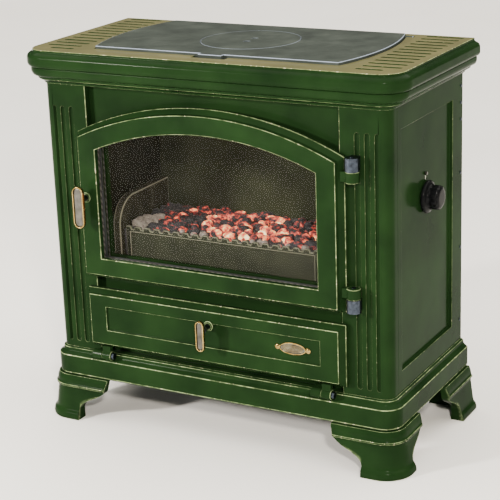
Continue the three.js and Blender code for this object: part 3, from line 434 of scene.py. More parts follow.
outer = loft(form, stacked("z", [(plan(over), z, edge_mark) for over, z, edge_mark in top_line]))
slots = []
for side in (-1, 1):
    for i in range(SLOTS):
        y = FIRST_SLOT + i * SLOT_ROW / (SLOTS - 1)
        out_end = SLOT_OUT - (CORNER_CUT if i == 0 else 0)
        slots.append(stadium(*sorted((side * SLOT_IN, side * out_end)), y - SLOT_WIDE / 2, y + SLOT_WIDE / 2))
lip = [(0.9, high, 0.0), (0.35, high - 0.15, 0.8), (0, high - 0.8, 0.5), (0, THROAT_FLOOR, 0)]
openings = [loft(form, stacked("z", [(grown(slot, by), z, edge_mark) for by, z, edge_mark in lip])) for slot in slots]
ledge_z = PLATE_UNDER - 0.3
seat_rows = loft(form, stacked("z", [(grown(seat, 1.2), high, 0), (grown(seat, 0.35), high - 0.25, 0.8),
                                     (seat, high - 1.2, 0.3), (seat, ledge_z, 0)]))
throat_rows = loft(form, stacked("z", [(throat, ledge_z, 0), (throat, THROAT_FLOOR, 0)]))
fill(form, outer[-1], *(rows[0] for rows in openings), seat_rows[0])
fill(form, seat_rows[-1], throat_rows[0])
under_rim = loft(form, stacked("z", [(plan(-12), low, 0), (plan(-12), THROAT_FLOOR, 0)]))
fill(form, under_rim[-1], *(rows[-1] for rows in openings), throat_rows[-1])
finish_piece(form, "top_casting", top_enamel, "stove", "green_enamel", "top_plate")

# ---- Hot plate and cooking lid ----
# Bare cast iron, ground flat and rubbed with black lead: a soft grey sheen, fine grinding marks and stains, and
# edges worn bright. The bluish white on the edges is partly bare metal and partly a painted highlight. The plate
# lifts on two round lugs; the lid drops in a ring and has two lifting holes.
COATED = 0.028  # specular level under black lead, soot or scale: a twentieth of a bare gloss
bare_iron, tree, place = new_material("cast iron, ground and blackleaded")
stretched = add(tree, "Mapping", {"Vector": place, "Scale": (0.15, 1.0, 1.0)}).outputs["Vector"]
marks = grain(tree, stretched, 4, 4, 0.6)
stain = grain(tree, place, 55, 5, 0.6)
tone = ramp(tree, stain, (0.3, "#2d322f"), (0.55, "#383e3a"), (0.75, "#424843"))
worn_and_lit_edge = add(tree, "Attribute", attribute_name="edge").outputs["Fac"]
# Marked edges turn bluish white: worn bare metal and a painted highlight.
tone = add(tree, "MixRGB", {"Fac": worn_and_lit_edge, "Color1": tone, "Color2": linear("#8d98aa")}).outputs["Color"]
gloss = add(tree, "MapRange", {"Value": marks, "To Min": 0.5, "To Max": 0.75}).outputs["Result"]
finish_surface(tree, Base_Color=tone, Specular_IOR_Level=COATED, Roughness=gloss,
               Normal=bump(tree, marks, 0.06, bump(tree, grain(tree, place, 1.6, 2), 0.05)))

right_end, left_end = bulged_ends(0)
plate_outline = ([(-TAB_HALF, PLATE_FRONT), (-TAB_HALF, PLATE_FRONT - 9), (TAB_HALF, PLATE_FRONT - 9),
                  (TAB_HALF, PLATE_FRONT)] + right_end + left_end)
LID_Y = (PLATE_FRONT + PLATE_REAR) / 2
LID_RADIUS = (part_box("cooking_lid")[1].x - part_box("cooking_lid")[0].x) / 2 / MM
LID_THICK = 5.0
LID_UNDER = PLATE_TOP - LID_THICK
ROUND = 96  # sides of each large circle
form = new_form()
plate_line = soften([(-3, PLATE_UNDER, 0), (0, PLATE_UNDER, 0.8), (0, PLATE_TOP, 2.0), (-3, PLATE_TOP, 0)])
plate_rows = loft(form, stacked("z", [(grown(plate_outline, by), z, edge_mark) for by, z, edge_mark in plate_line]))
step_z = PLATE_TOP - LID_THICK - 0.3
hole_line = [(LID_RADIUS + 1.5, PLATE_TOP, 0), (LID_RADIUS + 1.0, PLATE_TOP - 0.2, 0.4),
             (LID_RADIUS + 0.8, PLATE_TOP - 0.8, 0),
             (LID_RADIUS + 0.8, step_z, 0), (LID_RADIUS - 8, step_z, 0), (LID_RADIUS - 8, PLATE_UNDER, 0)]
hole_rows = loft(form, stacked("z", [(circle(0, LID_Y, radius, ROUND), z, edge_mark) for radius, z,
                                     edge_mark in hole_line]))
fill(form, plate_rows[-1], hole_rows[0])
fill(form, plate_rows[0], hole_rows[-1])


TIP = 0.02  # a turned piece closes at this radius


def turned(form, line, axis, centre, steps=40):
    """A turned solid from (radius, along, edge) points that start and end on its axis."""
    rows = []
    for radius, along, edge_mark in line:
        radius = max(radius, TIP)
        around = [(radius * math.cos(a), radius * math.sin(a)) for a in
                  (2 * math.pi * i / steps for i in range(steps))]
        x, y, z = centre
        rows.append([({"x": (x + along, y + u, z + v), "y": (x + u, y + along, z + v),
                       "z": (x + u, y + v, z + along)}[axis], edge_mark) for u, v in around])
    loft(form, rows, cap_first=True, cap_last=True)


for side in (-1, 1):
    start, end = sorted((side * (PLATE_HALF - 4), side * (PLATE_HALF + 17)))
    lug = soften([(0, start, 0), (4, start, 1), (4, end, 1.2), (0, end, 0)])
    turned(form, lug, "x", (0, AXLE_Y, AXLE_Z), 24)
finish_piece(form, "hot_plate_casting", bare_iron, "hot_plate", "bare_cast_iron", "hot_plate")

form = new_form()
LIFT_HOLE, LIFT_APART, LIFT_BELOW, BOSS, BOSS_DEEP = 6.5, 30.0, 3.8, 30.0, 8
rim = soften([(-2, LID_UNDER, 0), (0, LID_UNDER, 0.5), (0, PLATE_TOP, 1.0), (-2, PLATE_TOP, 0)])
lid_rows = loft(form, stacked("z", [(circle(0, LID_Y, LID_RADIUS + by, ROUND), z, 0.5 * edge_mark) for by, z,
                                    edge_mark in rim]))
lift_rows = [loft(form, stacked("z", [(circle(0, LID_Y + side * LIFT_APART / 2, radius, 24), z,
                                       edge_mark) for radius, z, edge_mark in
                                      ((LIFT_HOLE + 0.8, PLATE_TOP, 0), (LIFT_HOLE, PLATE_TOP - 0.8, 0.2),
                                       (LIFT_HOLE, LID_UNDER - LIFT_BELOW, 0))]),
                  cap_last=True) for side in (-1, 1)]
boss_rows = loft(form, stacked("z", [(circle(0, LID_Y, BOSS, ROUND), LID_UNDER, 0),
                                     (circle(0, LID_Y, BOSS - 3, ROUND), LID_UNDER - BOSS_DEEP, 0)]),
                 cap_last=True)
fill(form, lid_rows[-1], *(rows[0] for rows in lift_rows))
fill(form, lid_rows[0], boss_rows[0])
finish_piece(form, "cooking_lid_casting", bare_iron, "cooking_lid", "bare_cast_iron", "cooking_lid")

# ---- Feet ----
# Four hollow bracket feet, cast with a roll round the top and a splayed toe, enamelled like the rest. The
# front ones have an ogee-cut wing along the front and a shorter one along the side.
FOOT_WALL, FOOT_OUT = 6.0, 32.0
WING, TOE, SIDE_WING, SIDE_TOE = 140.0, 78.0, 118.0, 64.0
foot_line = soften([(29, 0, 0), (31.4, 0.6, 1.5), (32, 5, 3), (30.5, 12.5, 3), (26.4, 16.8, -2), (25, 21, -2),
                    (20, 57, -3),
                    (20.6, 61.5, -1), (23, 63.5, 1.2), (23, 66.5, 1.2), (20.6, 69.5, -2), (20, 76, 3),
                    (16.5, FOOT_TOP, 2),
                    (15, FOOT_TOP, 0)], 3)


def overhang(z):
    """How far the foot stands out at a height, and whether an edge runs there."""
    for (o0, z0, e0), (o1, z1, e1) in zip(foot_line, foot_line[1:]):
        if z0 <= z <= z1 and z1 > z0:
            t = (z - z0) / (z1 - z0)
            return o0 + (o1 - o0) * t, e0 + (e1 - e0) * t
    return foot_line[-1][0], 0.0


def wing_cut(reach, toe):
    """(distance in from the corner, height of the cut) along a wing's lower edge, from the toe outwards."""
    line = [(toe, 0.0), (toe + 0.05, 20.0)]
    p = [Vector((toe, 20)), Vector((toe + 4, 42)), Vector((reach - 12, 46)), Vector((reach - 6, 64))]
    for i in range(1, 15):
        t = i / 14
        q = p[0] * (1 - t) ** 3 + p[1] * 3 * t * (1 - t) ** 2 + p[2] * 3 * t * t * (1 - t) + p[3] * t ** 3
        line.append((q.x, q.y))
    line.append((reach - 0.5, FOOT_TOP - 1.5))
    return line


def foot_section(point, cut):
    """One closed section of a foot: its moulded face above the cut, then its plain inner face."""
    rows = []
    for _, z, _ in foot_line:
        height = max(z, cut)
        over, edge_mark = overhang(height)
        rows.append(((*point(over), height), edge_mark if z > cut else 0.8))
    rows[0] = (rows[0][0], 0.8)
    inner = point(FOOT_WALL)
    return rows + [((*inner, FOOT_TOP), 0.0), ((*inner, cut), 0.0)]


def foot(name, side, front):
    form = new_form()
    stations = []
    if front:
        for distance, cut in reversed(wing_cut(WING, TOE)):
            stations.append((lambda o, x=HALF + FOOT_OUT - distance: (x, -o), cut))
        for i in range(13):
            a = math.radians(90 * i / 12)
            stations.append((lambda o, a=a: (HALF - CORNER + (CORNER + o) * math.sin(a),
                                             CORNER - (CORNER + o) * math.cos(a)), 0.0))
        for distance, cut in wing_cut(SIDE_WING, SIDE_TOE):
            stations.append((lambda o, y=distance - FOOT_OUT: (HALF + o, y), cut))
    else:
        for distance, cut in reversed(wing_cut(SIDE_WING, SIDE_TOE)):
            stations.append((lambda o, y=BACK - distance: (HALF + o, y), cut))
        stations.append((lambda o: (HALF + o, BACK), 0.0))
        plate = soften([(0, 0, 0), (0, FOOT_TOP, 1.2), (9, FOOT_TOP, 1.2), (9, 0, 0)])
        inner_x, outer_x = HALF - 60, HALF + 12
        corner = [(x * side, BACK - t, z) for x in (inner_x, outer_x) for t, z, _ in plate]
        half = len(plate)
        loft(form, [[(p, 0.0) for p in corner[:half]], [(p, 0.0) for p in corner[half:]]], cap_first=True,
             cap_last=True)
    rows = []
    for point, cut in stations:
        rows.append([((x * side, y, z), edge_mark) for (x, y, z), edge_mark in foot_section(point, cut)])
    loft(form, rows, cap_first=True, cap_last=True)
    end = "front" if front else "back"
    hand = "right" if side > 0 else "left"
    finish_piece(form, name, green, "stove", "green_enamel", f"foot_{end}_{hand}")


for side, hand in ((1, "right"), (-1, "left")):
    foot(f"front_bracket_foot_{hand}", side, True)
    foot(f"back_bracket_foot_{hand}", side, False)

# ---- Front casting ----
# One enamelled casting: two pilasters with three round-bottomed flutes each, turning round the corner, and a
# plate set back between them with the arched fire opening and the ash opening.
BODY_LOW, BODY_HIGH = body[0][0].z / MM, body[0][1].z / MM
BAY, RECESS, PLATE_BACK = HALF - 90.0, 15.0, 23.0
FLUTE_IN, FLUTE_PITCH, FLUTE_WIDE, FLUTE_DEEP = 32, 18, 9.0, 4.5
FLUTES = [BAY + FLUTE_IN + FLUTE_PITCH * i for i in range(3)]
FLUTE_LOW, FLUTE_HIGH, FLUTE_LIP = BODY_LOW + 12, BODY_HIGH - 40, 0.8
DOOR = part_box("door_frame")
DOOR_LOW, DOOR_HIGH = DOOR[0].z / MM, DOOR[1].z / MM
DOOR_HALF, ARCH_RISE = -DOOR[0].x / MM, 60.0
ARCH = (DOOR_HALF ** 2 + ARCH_RISE ** 2) / (2 * ARCH_RISE)
ARCH_CENTRE = DOOR_HIGH - ARCH
STILE, RAIL, HEAD = 45.0, 41.0, 43.0


def arched(half, low, radius, steps=48):
    """An outline with upright sides and an arched head, concentric with the door's."""
    lean = math.degrees(math.asin(half / radius))
    return [(-half, low), (half, low)] + arc(0, ARCH_CENTRE, radius, 90 - lean, 90 + lean, steps)


def door_edge(by):
    return arched(DOOR_HALF + by, DOOR_LOW - by, ARCH + by)


def window(by):
    return arched(DOOR_HALF - STILE + by, DOOR_LOW + RAIL - by, ARCH - HEAD + by)


def rectangle(u0, u1, v0, v1):
    return [(u0, v0), (u1, v0), (u1, v1), (u0, v1)]


form = new_form()
for side in (-1, 1):
    section = soften([(BAY, PLATE_BACK, 0), (BAY, 0, 1.8), (BAY + 4, 0, 0)])
    flat_end = HALF - CORNER
    turn_round = [(u, v, 0.0) for u, v in arc(HALF - CORNER, CORNER, CORNER, -90, 0, 12)]
    section += turn_round + [(HALF, 30, 0), (HALF - 10, 30, 0), (HALF - 10, PLATE_BACK, 0)]
    posts = [[((side * u, v, z), edge_mark) for u, v, edge_mark in section] for z in (BODY_LOW, BODY_HIGH)]
    edge = form.verts.layers.float["edge"]
    verts = [[form.verts.new(at(*p)) for p, _ in post] for post in posts]
    for row, post in zip(verts, posts):
        for vert, (_, edge_mark) in zip(row, post):
            vert[edge] = edge_mark
    flat = [i for i, (u, v, _) in enumerate(section) if abs(u - flat_end) < 1e-6 and abs(v) < 1e-6][0]
    for i in range(len(section)):
        if i != flat:
            form.faces.new((verts[0][i - 1], verts[0][i], verts[1][i], verts[1][i - 1]))
    form.faces.new(verts[0])
    form.faces.new(verts[1])
    cuts = []
    for centre in FLUTES:
        mid = side * centre
        outline = stadium(mid - FLUTE_WIDE / 2, mid + FLUTE_WIDE / 2, FLUTE_LOW, FLUTE_HIGH, 10)
        rows = [(grown(outline, 0.8), 0, 0), (grown(outline, 0.3), 0.2, 0.9), (outline, FLUTE_LIP, 0.5)]
        for k in range(1, 6):
            a = math.radians(90 * k / 6)
            rows.append((grown(outline, -FLUTE_WIDE / 2 * (1 - math.cos(a))),
                         FLUTE_LIP + (FLUTE_DEEP - FLUTE_LIP) * math.sin(a), 0))
        cuts.append(loft(form, stacked("y", rows), cap_last=True)[0])
    fill(form, [verts[0][flat - 1], verts[0][flat], verts[1][flat], verts[1][flat - 1]], *cuts)
fire_edge = [(window(5.5), RECESS, 0), (window(4.3), RECESS + 0.3, 0.5), (window(4), RECESS + 1.2, 0),
             (window(4), PLATE_BACK, 0)]
ASH_GAP, ASH_HIGH, ASH_RIM, ASH_HOLE_HALF = 22, 112, 19, 228
ash_low, ash_high = DOOR_LOW - ASH_GAP - ASH_HIGH, DOOR_LOW - ASH_GAP
ash_hole = rectangle(-ASH_HOLE_HALF, ASH_HOLE_HALF, ash_low + ASH_RIM, ash_high - ASH_RIM)
ash_edge = [(grown(ash_hole, 1.2), RECESS, 0), (ash_hole, RECESS + 1.2, 0.4), (ash_hole, PLATE_BACK, 0)]
fire_rows = loft(form, stacked("y", fire_edge))
ash_rows = loft(form, stacked("y", ash_edge))
sheet_outline = rectangle(-BAY - 0.5, BAY + 0.5, BODY_LOW, BODY_HIGH)
sheet_rows = loft(form, stacked("y", [(sheet_outline, RECESS, 0), (sheet_outline, PLATE_BACK - 0.1, 0)]))
fill(form, sheet_rows[0], fire_rows[0], ash_rows[0])
fill(form, sheet_rows[-1], fire_rows[-1], ash_rows[-1])
finish_piece(form, "front_casting", green, "stove", "green_enamel", "front_frame")

# ---- Side panels ----
# Each side is a frame of stiles and rails round a sunk field, pressed and enamelled, held to the rear stile by
# small round-headed screws.
PANEL_FRONT, FIELD_DEEP = 30.3, 6.0
field = (47.0, BACK - 47.0, BODY_LOW + 38, BODY_HIGH - 40.7)
PANEL_IN = HALF - 12
for side, hand in ((1, "right"), (-1, "left")):
    form = new_form()
    board = rectangle(PANEL_FRONT, BACK, BODY_LOW, BODY_HIGH)
    sunk = rectangle(*field)
    rows = [(board, PANEL_IN, 0), (board, HALF - 0.8, 0.2), (grown(board, -0.8), HALF, 0),
            (grown(sunk, 1.5), HALF, 0), (grown(sunk, 0.5), HALF - 0.3, 0.9), (sunk, HALF - 1.5, 0.4),
            (sunk, HALF - FIELD_DEEP + 1, 0), (grown(sunk, -1.2), HALF - FIELD_DEEP, 0)]
    rows = [(outline, side * x, edge_mark) for outline, x, edge_mark in rows]
    loft(form, stacked("x", rows), cap_first=True, cap_last=True)
    finish_piece(form, f"side_casting_{hand}", green, "stove", "green_enamel", f"side_panel_{hand}")

# Zinc plate gives turned and pressed steel a cool grey shine, in soft spangles some 7 mm wide.
zinc, tree, place = new_material("steel, machined and zinc plated")
spangle = grain(tree, place, 7, 4, 0.6)
finish_surface(tree, Base_Color=ramp(tree, spangle, (0.3, "#252a31"), (0.7, "#474e5a")), Metallic=1.0,
               Roughness=add(tree, "MapRange", {"Value": grain(tree, place, 2, 3), "To Min": 0.22,
                                                "To Max": 0.42}).outputs["Result"],
               Normal=bump(tree, grain(tree, place, 0.8, 2), 0.02))

SCREW = 3.2
form = new_form()
for side in (-1, 1):
    for z in (BODY_HIGH - 22, BODY_HIGH - 52, BODY_HIGH - 82, BODY_LOW + 40, BODY_LOW + 180, BODY_LOW + 320):
        head = [(0, 0, 0), (SCREW, 0, 0), (SCREW, 0.5, 0), (SCREW * 0.8, 1.3, 0), (SCREW * 0.4, 1.7, 0),
                (0, 1.8, 0)]
        turned(form, [(r, side * (HALF + h), e) for r, h, e in head], "x", (0, BACK - 9, z), 14)
finish_piece(form, "rear_stile_screws", zinc, "stove", "zinc_steel")

# ---- Back and flue ----
# The back is rolled steel sheet in heat-proof black paint, screwed round its edge. A cast collar for the
# stove pipe is bolted on near the top, and a hinged flap covers the air inlet low down.
# The paint is a dull satin black that dust has greyed in patches. Its spray grain is drawn at 1.2 mm.
black_paint, tree, place = new_material("steel sheet, heat-proof black paint")
dust = grain(tree, place, 70, 5, 0.6)
finish_surface(tree, Base_Color=ramp(tree, dust, (0.35, "#202322"), (0.7, "#34373a")),
               Roughness=add(tree, "MapRange", {"Value": dust, "To Min": 0.42,
                                                "To Max": 0.65}).outputs["Result"],
               Normal=bump(tree, grain(tree, place, 1.2, 2), 0.03))
# Soot is a dead matt black, with paler drifts of fly ash.
soot, tree, place = new_material("cast iron, coated with soot and ash dust")
drift = grain(tree, place, 60, 5, 0.65)
finish_surface(tree, Specular_IOR_Level=COATED, Base_Color=ramp(tree, drift, (0.3, "#0b0c07"),
                                                                (0.55, "#12130c"), (0.75, "#1d1f15")),
               Roughness=0.85, Normal=bump(tree, grain(tree, place, 4, 3), 0.08))


def round_edges(name, width, material):
    """Keeps a CAD piece, joins its flat facets, rounds its edges a little, and gives it a finish."""
    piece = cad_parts[name]
    piece.data.materials.clear()
    piece.data.materials.append(material)
    joined = piece.modifiers.new("join_facets", "DECIMATE")
    joined.decimate_type, joined.angle_limit = "DISSOLVE", math.radians(1)
    eased = piece.modifiers.new("eased_edges", "BEVEL")
    eased.width, eased.segments, eased.limit_method = width * MM, 3, "ANGLE"
    eased.angle_limit = math.radians(30)
    eased.harden_normals = True
    for polygon in piece.data.polygons:
        polygon.use_smooth = True


for name in ("back_panel", "base_sheet", "ash_pan", "ash_shelf", "thermostat_housing", "flap_bracket_left",
             "flap_bracket_right", "air_flap", "glass_retaining_frame"):
    round_edges(name, 0.6, black_paint)
for name in ("firebox_side_left", "firebox_side_right", "firebox_floor", "grate", "smoke_baffle"):
    round_edges(name, 1.0, soot)
# The back of the firebox has burnt clean of soot, down to an olive-grey scale.
back_iron, tree, place = new_material("cast iron, scorched to olive grey")
scorch = grain(tree, place, 110, 4, 0.6)
finish_surface(tree, Base_Color=ramp(tree, scorch, (0.3, "#20231a"), (0.7, "#313626")), Roughness=0.8,
               Specular_IOR_Level=COATED, Normal=bump(tree, grain(tree, place, 5, 3), 0.06))
round_edges("firebox_back", 1.0, back_iron)
for name in ("hinge_pin_upper", "hinge_pin_lower", "ash_hinge_pin_left", "ash_hinge_pin_right",
             "thermostat_shaft", "hinge_lug_upper", "hinge_lug_lower"):
    round_edges(name, 1.2, zinc)
for name in ("ash_hinge_lug_left", "ash_hinge_lug_right"):
    round_edges(name, 1.0, green)

FLUE_LOW, FLUE_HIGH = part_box("flue_collar")
FLUE_Z = (FLUE_LOW.z + FLUE_HIGH.z) / 2 / MM
flue_start, flue_end = (FLUE_LOW.y - face) / MM, (FLUE_HIGH.y - face) / MM
form = new_form()
SPIGOT_IN, SPIGOT_OUT, FLANGE, BOLT_CIRCLE, NUT = 57, 62, 80, 71.5, 4.6
flue_line = soften([(SPIGOT_IN, flue_start, 0), (FLANGE, flue_start, 0.8), (FLANGE, flue_start + 5, 1.5),
                    (SPIGOT_OUT + 3, flue_start + 5.5, -3), (SPIGOT_OUT, flue_start + 12, 0),
                    (SPIGOT_OUT, flue_end, 1.2), (SPIGOT_IN, flue_end, 1.2), (SPIGOT_IN, flue_start, 0)])
rows = [(circle(0, FLUE_Z, radius, 72), y, 0.4 * edge_mark) for radius, y, edge_mark in flue_line[:-1]]
loft(form, stacked("y", rows), ring=True)
for k in range(4):
    a = math.radians(45 + 90 * k)
    nut = [(0, flue_start + 5.2, 0), (NUT, flue_start + 5.2, 0), (NUT, flue_start + 9, 0),
           (0, flue_start + 9.5, 0)]
    turned(form, nut, "y", (BOLT_CIRCLE * math.cos(a), 0, FLUE_Z + BOLT_CIRCLE * math.sin(a)), 6)
finish_piece(form, "flue_collar_casting", bare_iron, "stove", "bare_cast_iron", "flue_collar")

form = new_form()
spots = [(x, z) for x in range(-300, 301, 100) for z in (BODY_LOW + 10, BODY_HIGH - 10)]
spots += [(x, z) for x in (-312, 312) for z in range(int(BODY_LOW) + 100, int(BODY_HIGH) - 60, 100)]
for x, z in spots:
    turned(form, [(0, BACK, 0), (3.6, BACK, 0), (3.4, BACK + 1.2, 0), (2, BACK + 1.9, 0), (0, BACK + 2.1, 0)],
           "y", (x, 0, z), 12)
finish_piece(form, "back_sheet_screws", zinc, "stove", "zinc_steel")

# ---- Fire door ----
# An arched casting that lies over the pilasters. Its edge falls away in a bevel behind a crisp ridge, and two
# knuckles on the right carry it on the pins of the steel lugs.
FACE_Y, BACK_Y, RIM_Y, LIP = (DOOR[0].y - face) / MM, -2.0, (DOOR[1].y - face) / MM, 10.0
form = new_form()
bevel_line = soften([(-2, BACK_Y, 0), (0, BACK_Y, 0.6), (0, -9.5, 1.8), (-8.6, -18.6, -0.8),
                     (-9.6, FACE_Y, 1.5), (-13, FACE_Y, 0)])
rows = [(door_edge(by), y, edge_mark) for by, y, edge_mark in bevel_line]
rows += [(window(by), y, edge_mark) for by, y, edge_mark in
         soften([(4, FACE_Y, 0), (0, FACE_Y, 2.0), (0, FACE_Y + LIP, 0.4), (8, FACE_Y + LIP, 0),
                 (8, RIM_Y, 0),
                 (17, RIM_Y, 0), (17, BACK_Y, 0)])]
loft(form, stacked("y", rows), ring=True)
HINGE_X, HINGE_Y = DOOR_HALF + 16, -15.0
lugs = {name: [z.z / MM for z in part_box(f"hinge_lug_{name}")] for name in ("upper", "lower")}
for z0, z1 in ((lugs["upper"][0] - 19.3, lugs["upper"][0] - 0.3),
               (lugs["lower"][1] + 0.3, lugs["lower"][1] + 19.3)):
    turned(form, soften([(0, z0, 0), (12, z0, 1.8), (12, z1, 1.8), (0, z1, 0)]), "z", (HINGE_X, HINGE_Y, 0),
           36)
    web = rectangle(DOOR_HALF - 3, HINGE_X - 4, HINGE_Y - 5, HINGE_Y + 6.5)
    loft(form, stacked("z", [(web, z0 + 0.8, 0), (grown(web, 0.6), z0 + 1.6, 0),
                             (grown(web, 0.6), z1 - 1.6, 0),
                             (web, z1 - 0.8, 0.5)]), cap_first=True, cap_last=True)
finish_piece(form, "fire_door_casting", green, "fire_door", "green_enamel", "door_frame")

# Ceramic glass, drawn and polished: all but clear, with a faint smear of smoke.
glass, tree, place = new_material("ceramic glass, clear with an amber cast")
smear = grain(tree, place, 50, 5, 0.6)
finish_surface(tree, Base_Color=ramp(tree, smear, (0.3, "#16150f"), (0.8, "#2b2a20")), Roughness=0.06,
               IOR=1.54,
               Alpha=0.05, Normal=bump(tree, grain(tree, place, 120, 1), 0.03))
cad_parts["door_glass"].data.materials.clear()
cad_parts["door_glass"].data.materials.append(glass)

# The seals are knitted rope: matt grey, with slanting stitches some 7 mm apart, coarser than real.
rope, tree, place = new_material("glass fibre rope, knitted, graphite grey")
knit = add(tree, "TexWave", {"Vector": place, "Scale": 1 / (3 * MM) / 6.283, "Distortion": 3.0,
                             "Detail": 2.0}, bands_direction="DIAGONAL").outputs["Fac"]
finish_surface(tree, Base_Color=ramp(tree, knit, (0.2, "#23221f"), (0.8, "#4a4843")), Roughness=0.95,
               Normal=bump(tree, knit, 0.5))
for name in ("glass_gasket", "door_rope_seal", "ash_door_rope_seal"):
    round_edges(name, 0.5, rope)

# ---- Ash door ----
# A low cast door hinged along its bottom edge. Its face has the same ridge and bevel as the fire door, and a
# long shallow panel sunk in the middle.
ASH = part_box("ash_door")
ASH_HALF, ASH_TOP_Z, ASH_LOW_Z = ASH[1].x / MM, ASH[1].z / MM, ash_low
ASH_FACE, ASH_PLUG = (ASH[0].y - face) / MM, (ASH[1].y - face) / MM
ash_outline = rectangle(-ASH_HALF, ASH_HALF, ASH_LOW_Z, ASH_TOP_Z)
panel_outline = rectangle(-ASH_HALF + 44, ASH_HALF - 44, ASH_LOW_Z + 37, ASH_TOP_Z - 31)
plug_outline = rectangle(-BAY + 7, BAY - 7, ASH_LOW_Z + 8, ASH_TOP_Z - 8)
form = new_form()
rows = [(plug_outline, ASH_PLUG, 0), (plug_outline, BACK_Y, 0)]
rows += [(grown(ash_outline, by), y, edge_mark) for by, y, edge_mark in
         soften([(-2, BACK_Y, 0), (0, BACK_Y, 0.6), (0, -10.5, 1.8), (-7.6, -19.6, -0.8),
                 (-8.8, ASH_FACE, 1.5), (-12, ASH_FACE, 0)])]
rows += [(grown(panel_outline, by), y, edge_mark) for by, y, edge_mark in
         soften([(3, ASH_FACE, 0), (0.8, ASH_FACE, 0.8), (0, ASH_FACE + 4, -1.2), (-3, ASH_FACE + 4, 0)])]
loft(form, stacked("y", rows), cap_first=True, cap_last=True)
ASH_HINGE_Y, ASH_HINGE_Z = -15.0, BODY_LOW - 1
for middle in (-ASH_HALF + 35, ASH_HALF - 35):
    x0, x1 = middle - 9.5, middle + 9.5
    turned(form, soften([(0, x0, 0), (9, x0, 1.5), (9, x1, 1.5), (0, x1, 0)]), "x",
           (0, ASH_HINGE_Y, ASH_HINGE_Z), 28)
    web = rectangle(ASH_HINGE_Y - 4, ASH_HINGE_Y + 5, ASH_HINGE_Z, ASH_LOW_Z + 2)
    loft(form, stacked("x", [(web, x0 + 1, 0.5), (grown(web, 0.5), x0 + 2, 0), (grown(web, 0.5), x1 - 2, 0),
                             (web, x1 - 1, 0.5)]), cap_first=True, cap_last=True)
finish_piece(form, "ash_door_casting", green, "ash_door", "green_enamel", "ash_door")

# ---- Badge ----
# A small oval plate of cast brass, pinned at both ends. The field is plain upright ribs inside a raised rim.
polished_brass, tree, place = new_material("brass, cast and polished, a little tarnished")
tarnish = grain(tree, place, 9, 4, 0.6)
tone = ramp(tree, tarnish, (0.3, "#7d6636"), (0.6, "#a58f5a"), (0.8, "#bbaa7c"))
sunk_field = add(tree, "Attribute", attribute_name="edge").outputs["Fac"]
tone = add(tree, "MixRGB", {"Fac": sunk_field, "Color1": tone,
                            "Color2": ramp(tree, tarnish, (0.3, "#3f4343"),
                                           (0.7, "#6d726f"))}).outputs["Color"]
finish_surface(tree, Base_Color=tone, Metallic=1.0, Roughness=add(tree, "MapRange",
                                                                  {"Value": tarnish, "To Min": 0.16,
                                                                   "To Max": 0.34}).outputs["Result"],
               Normal=bump(tree, grain(tree, place, 1.5, 2), 0.02))
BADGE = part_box("maker_badge")
badge_x, badge_z = ((BADGE[0].x + BADGE[1].x) / 2 / MM, (BADGE[0].z + BADGE[1].z) / 2 / MM)
badge_half, badge_high = ((BADGE[1].x - BADGE[0].x) / 2 / MM, (BADGE[1].z - BADGE[0].z) / 2 / MM)
badge_back, badge_front = (BADGE[1].y - face) / MM, (BADGE[0].y - face) / MM


def oval(half, high):
    return [(badge_x + half * u, badge_z + high * v) for u, v in circle(0, 0, 1, 72)]


form = new_form()
body_half = badge_half - 8
rows = [(oval(body_half, badge_high), badge_back, 0), (oval(body_half, badge_high), badge_front + 1, 0),
        (oval(body_half - 0.9, badge_high - 0.9), badge_front, 0),
        (oval(body_half - 2.2, badge_high - 2.2), badge_front, 0),
        (oval(body_half - 3, badge_high - 3), badge_front + 1.2, 1),
        (oval(body_half - 3.4, badge_high - 3.4), badge_front + 1.2, 1)]
loft(form, stacked("y", rows), cap_first=True, cap_last=True)
for side in (-1, 1):
    ear = [(0, badge_back, 0), (4.6, badge_back, 0), (4.6, badge_front + 1.2, 0), (3.4, badge_front + 0.4, 0),
           (1.8, badge_front + 0.2, 0), (1.6, badge_front, 0), (0, badge_front, 0)]
    turned(form, ear, "y", (badge_x + side * (badge_half - 4.6), 0, badge_z), 28)
for i in range(-9, 10):
    x = badge_x + i * 2.2
    high_here = (badge_high - 3.6) * math.sqrt(max(0, 1 - (i * 2.2 / (body_half - 3)) ** 2))
    rib = stadium(x - 0.5, x + 0.5, badge_z - high_here, badge_z + high_here, 4)
    loft(form, stacked("y", [(rib, badge_front + 1.3, 1), (rib, badge_front + 0.6, 0.6),
                             (grown(rib, -0.25), badge_front + 0.3, 0.3)]),
         cap_last=True)
finish_piece(form, "oval_badge", polished_brass, "ash_door", "brass", "maker_badge")

# ---- Door handles ----
# Each handle is an oblong brass rim round a brushed nickel-silver inlay, on a turned steel spindle that passes
# through an enamelled rose on the door. The short tongue of the latch is on its inner end.
nickel, tree, place = new_material("nickel silver, brushed")
brushed = add(tree, "Mapping", {"Vector": place, "Scale": (1.0, 1.0, 0.06)}).outputs["Vector"]
strokes = grain(tree, brushed, 0.9, 3, 0.6)
finish_surface(tree, Base_Color=ramp(tree, grain(tree, place, 12, 3), (0.3, "#45443f"), (0.7, "#615f5a")),
               Metallic=1.0,
               Roughness=add(tree, "MapRange", {"Value": strokes, "To Min": 0.25,
                                                "To Max": 0.5}).outputs["Result"],
               Normal=bump(tree, strokes, 0.03))


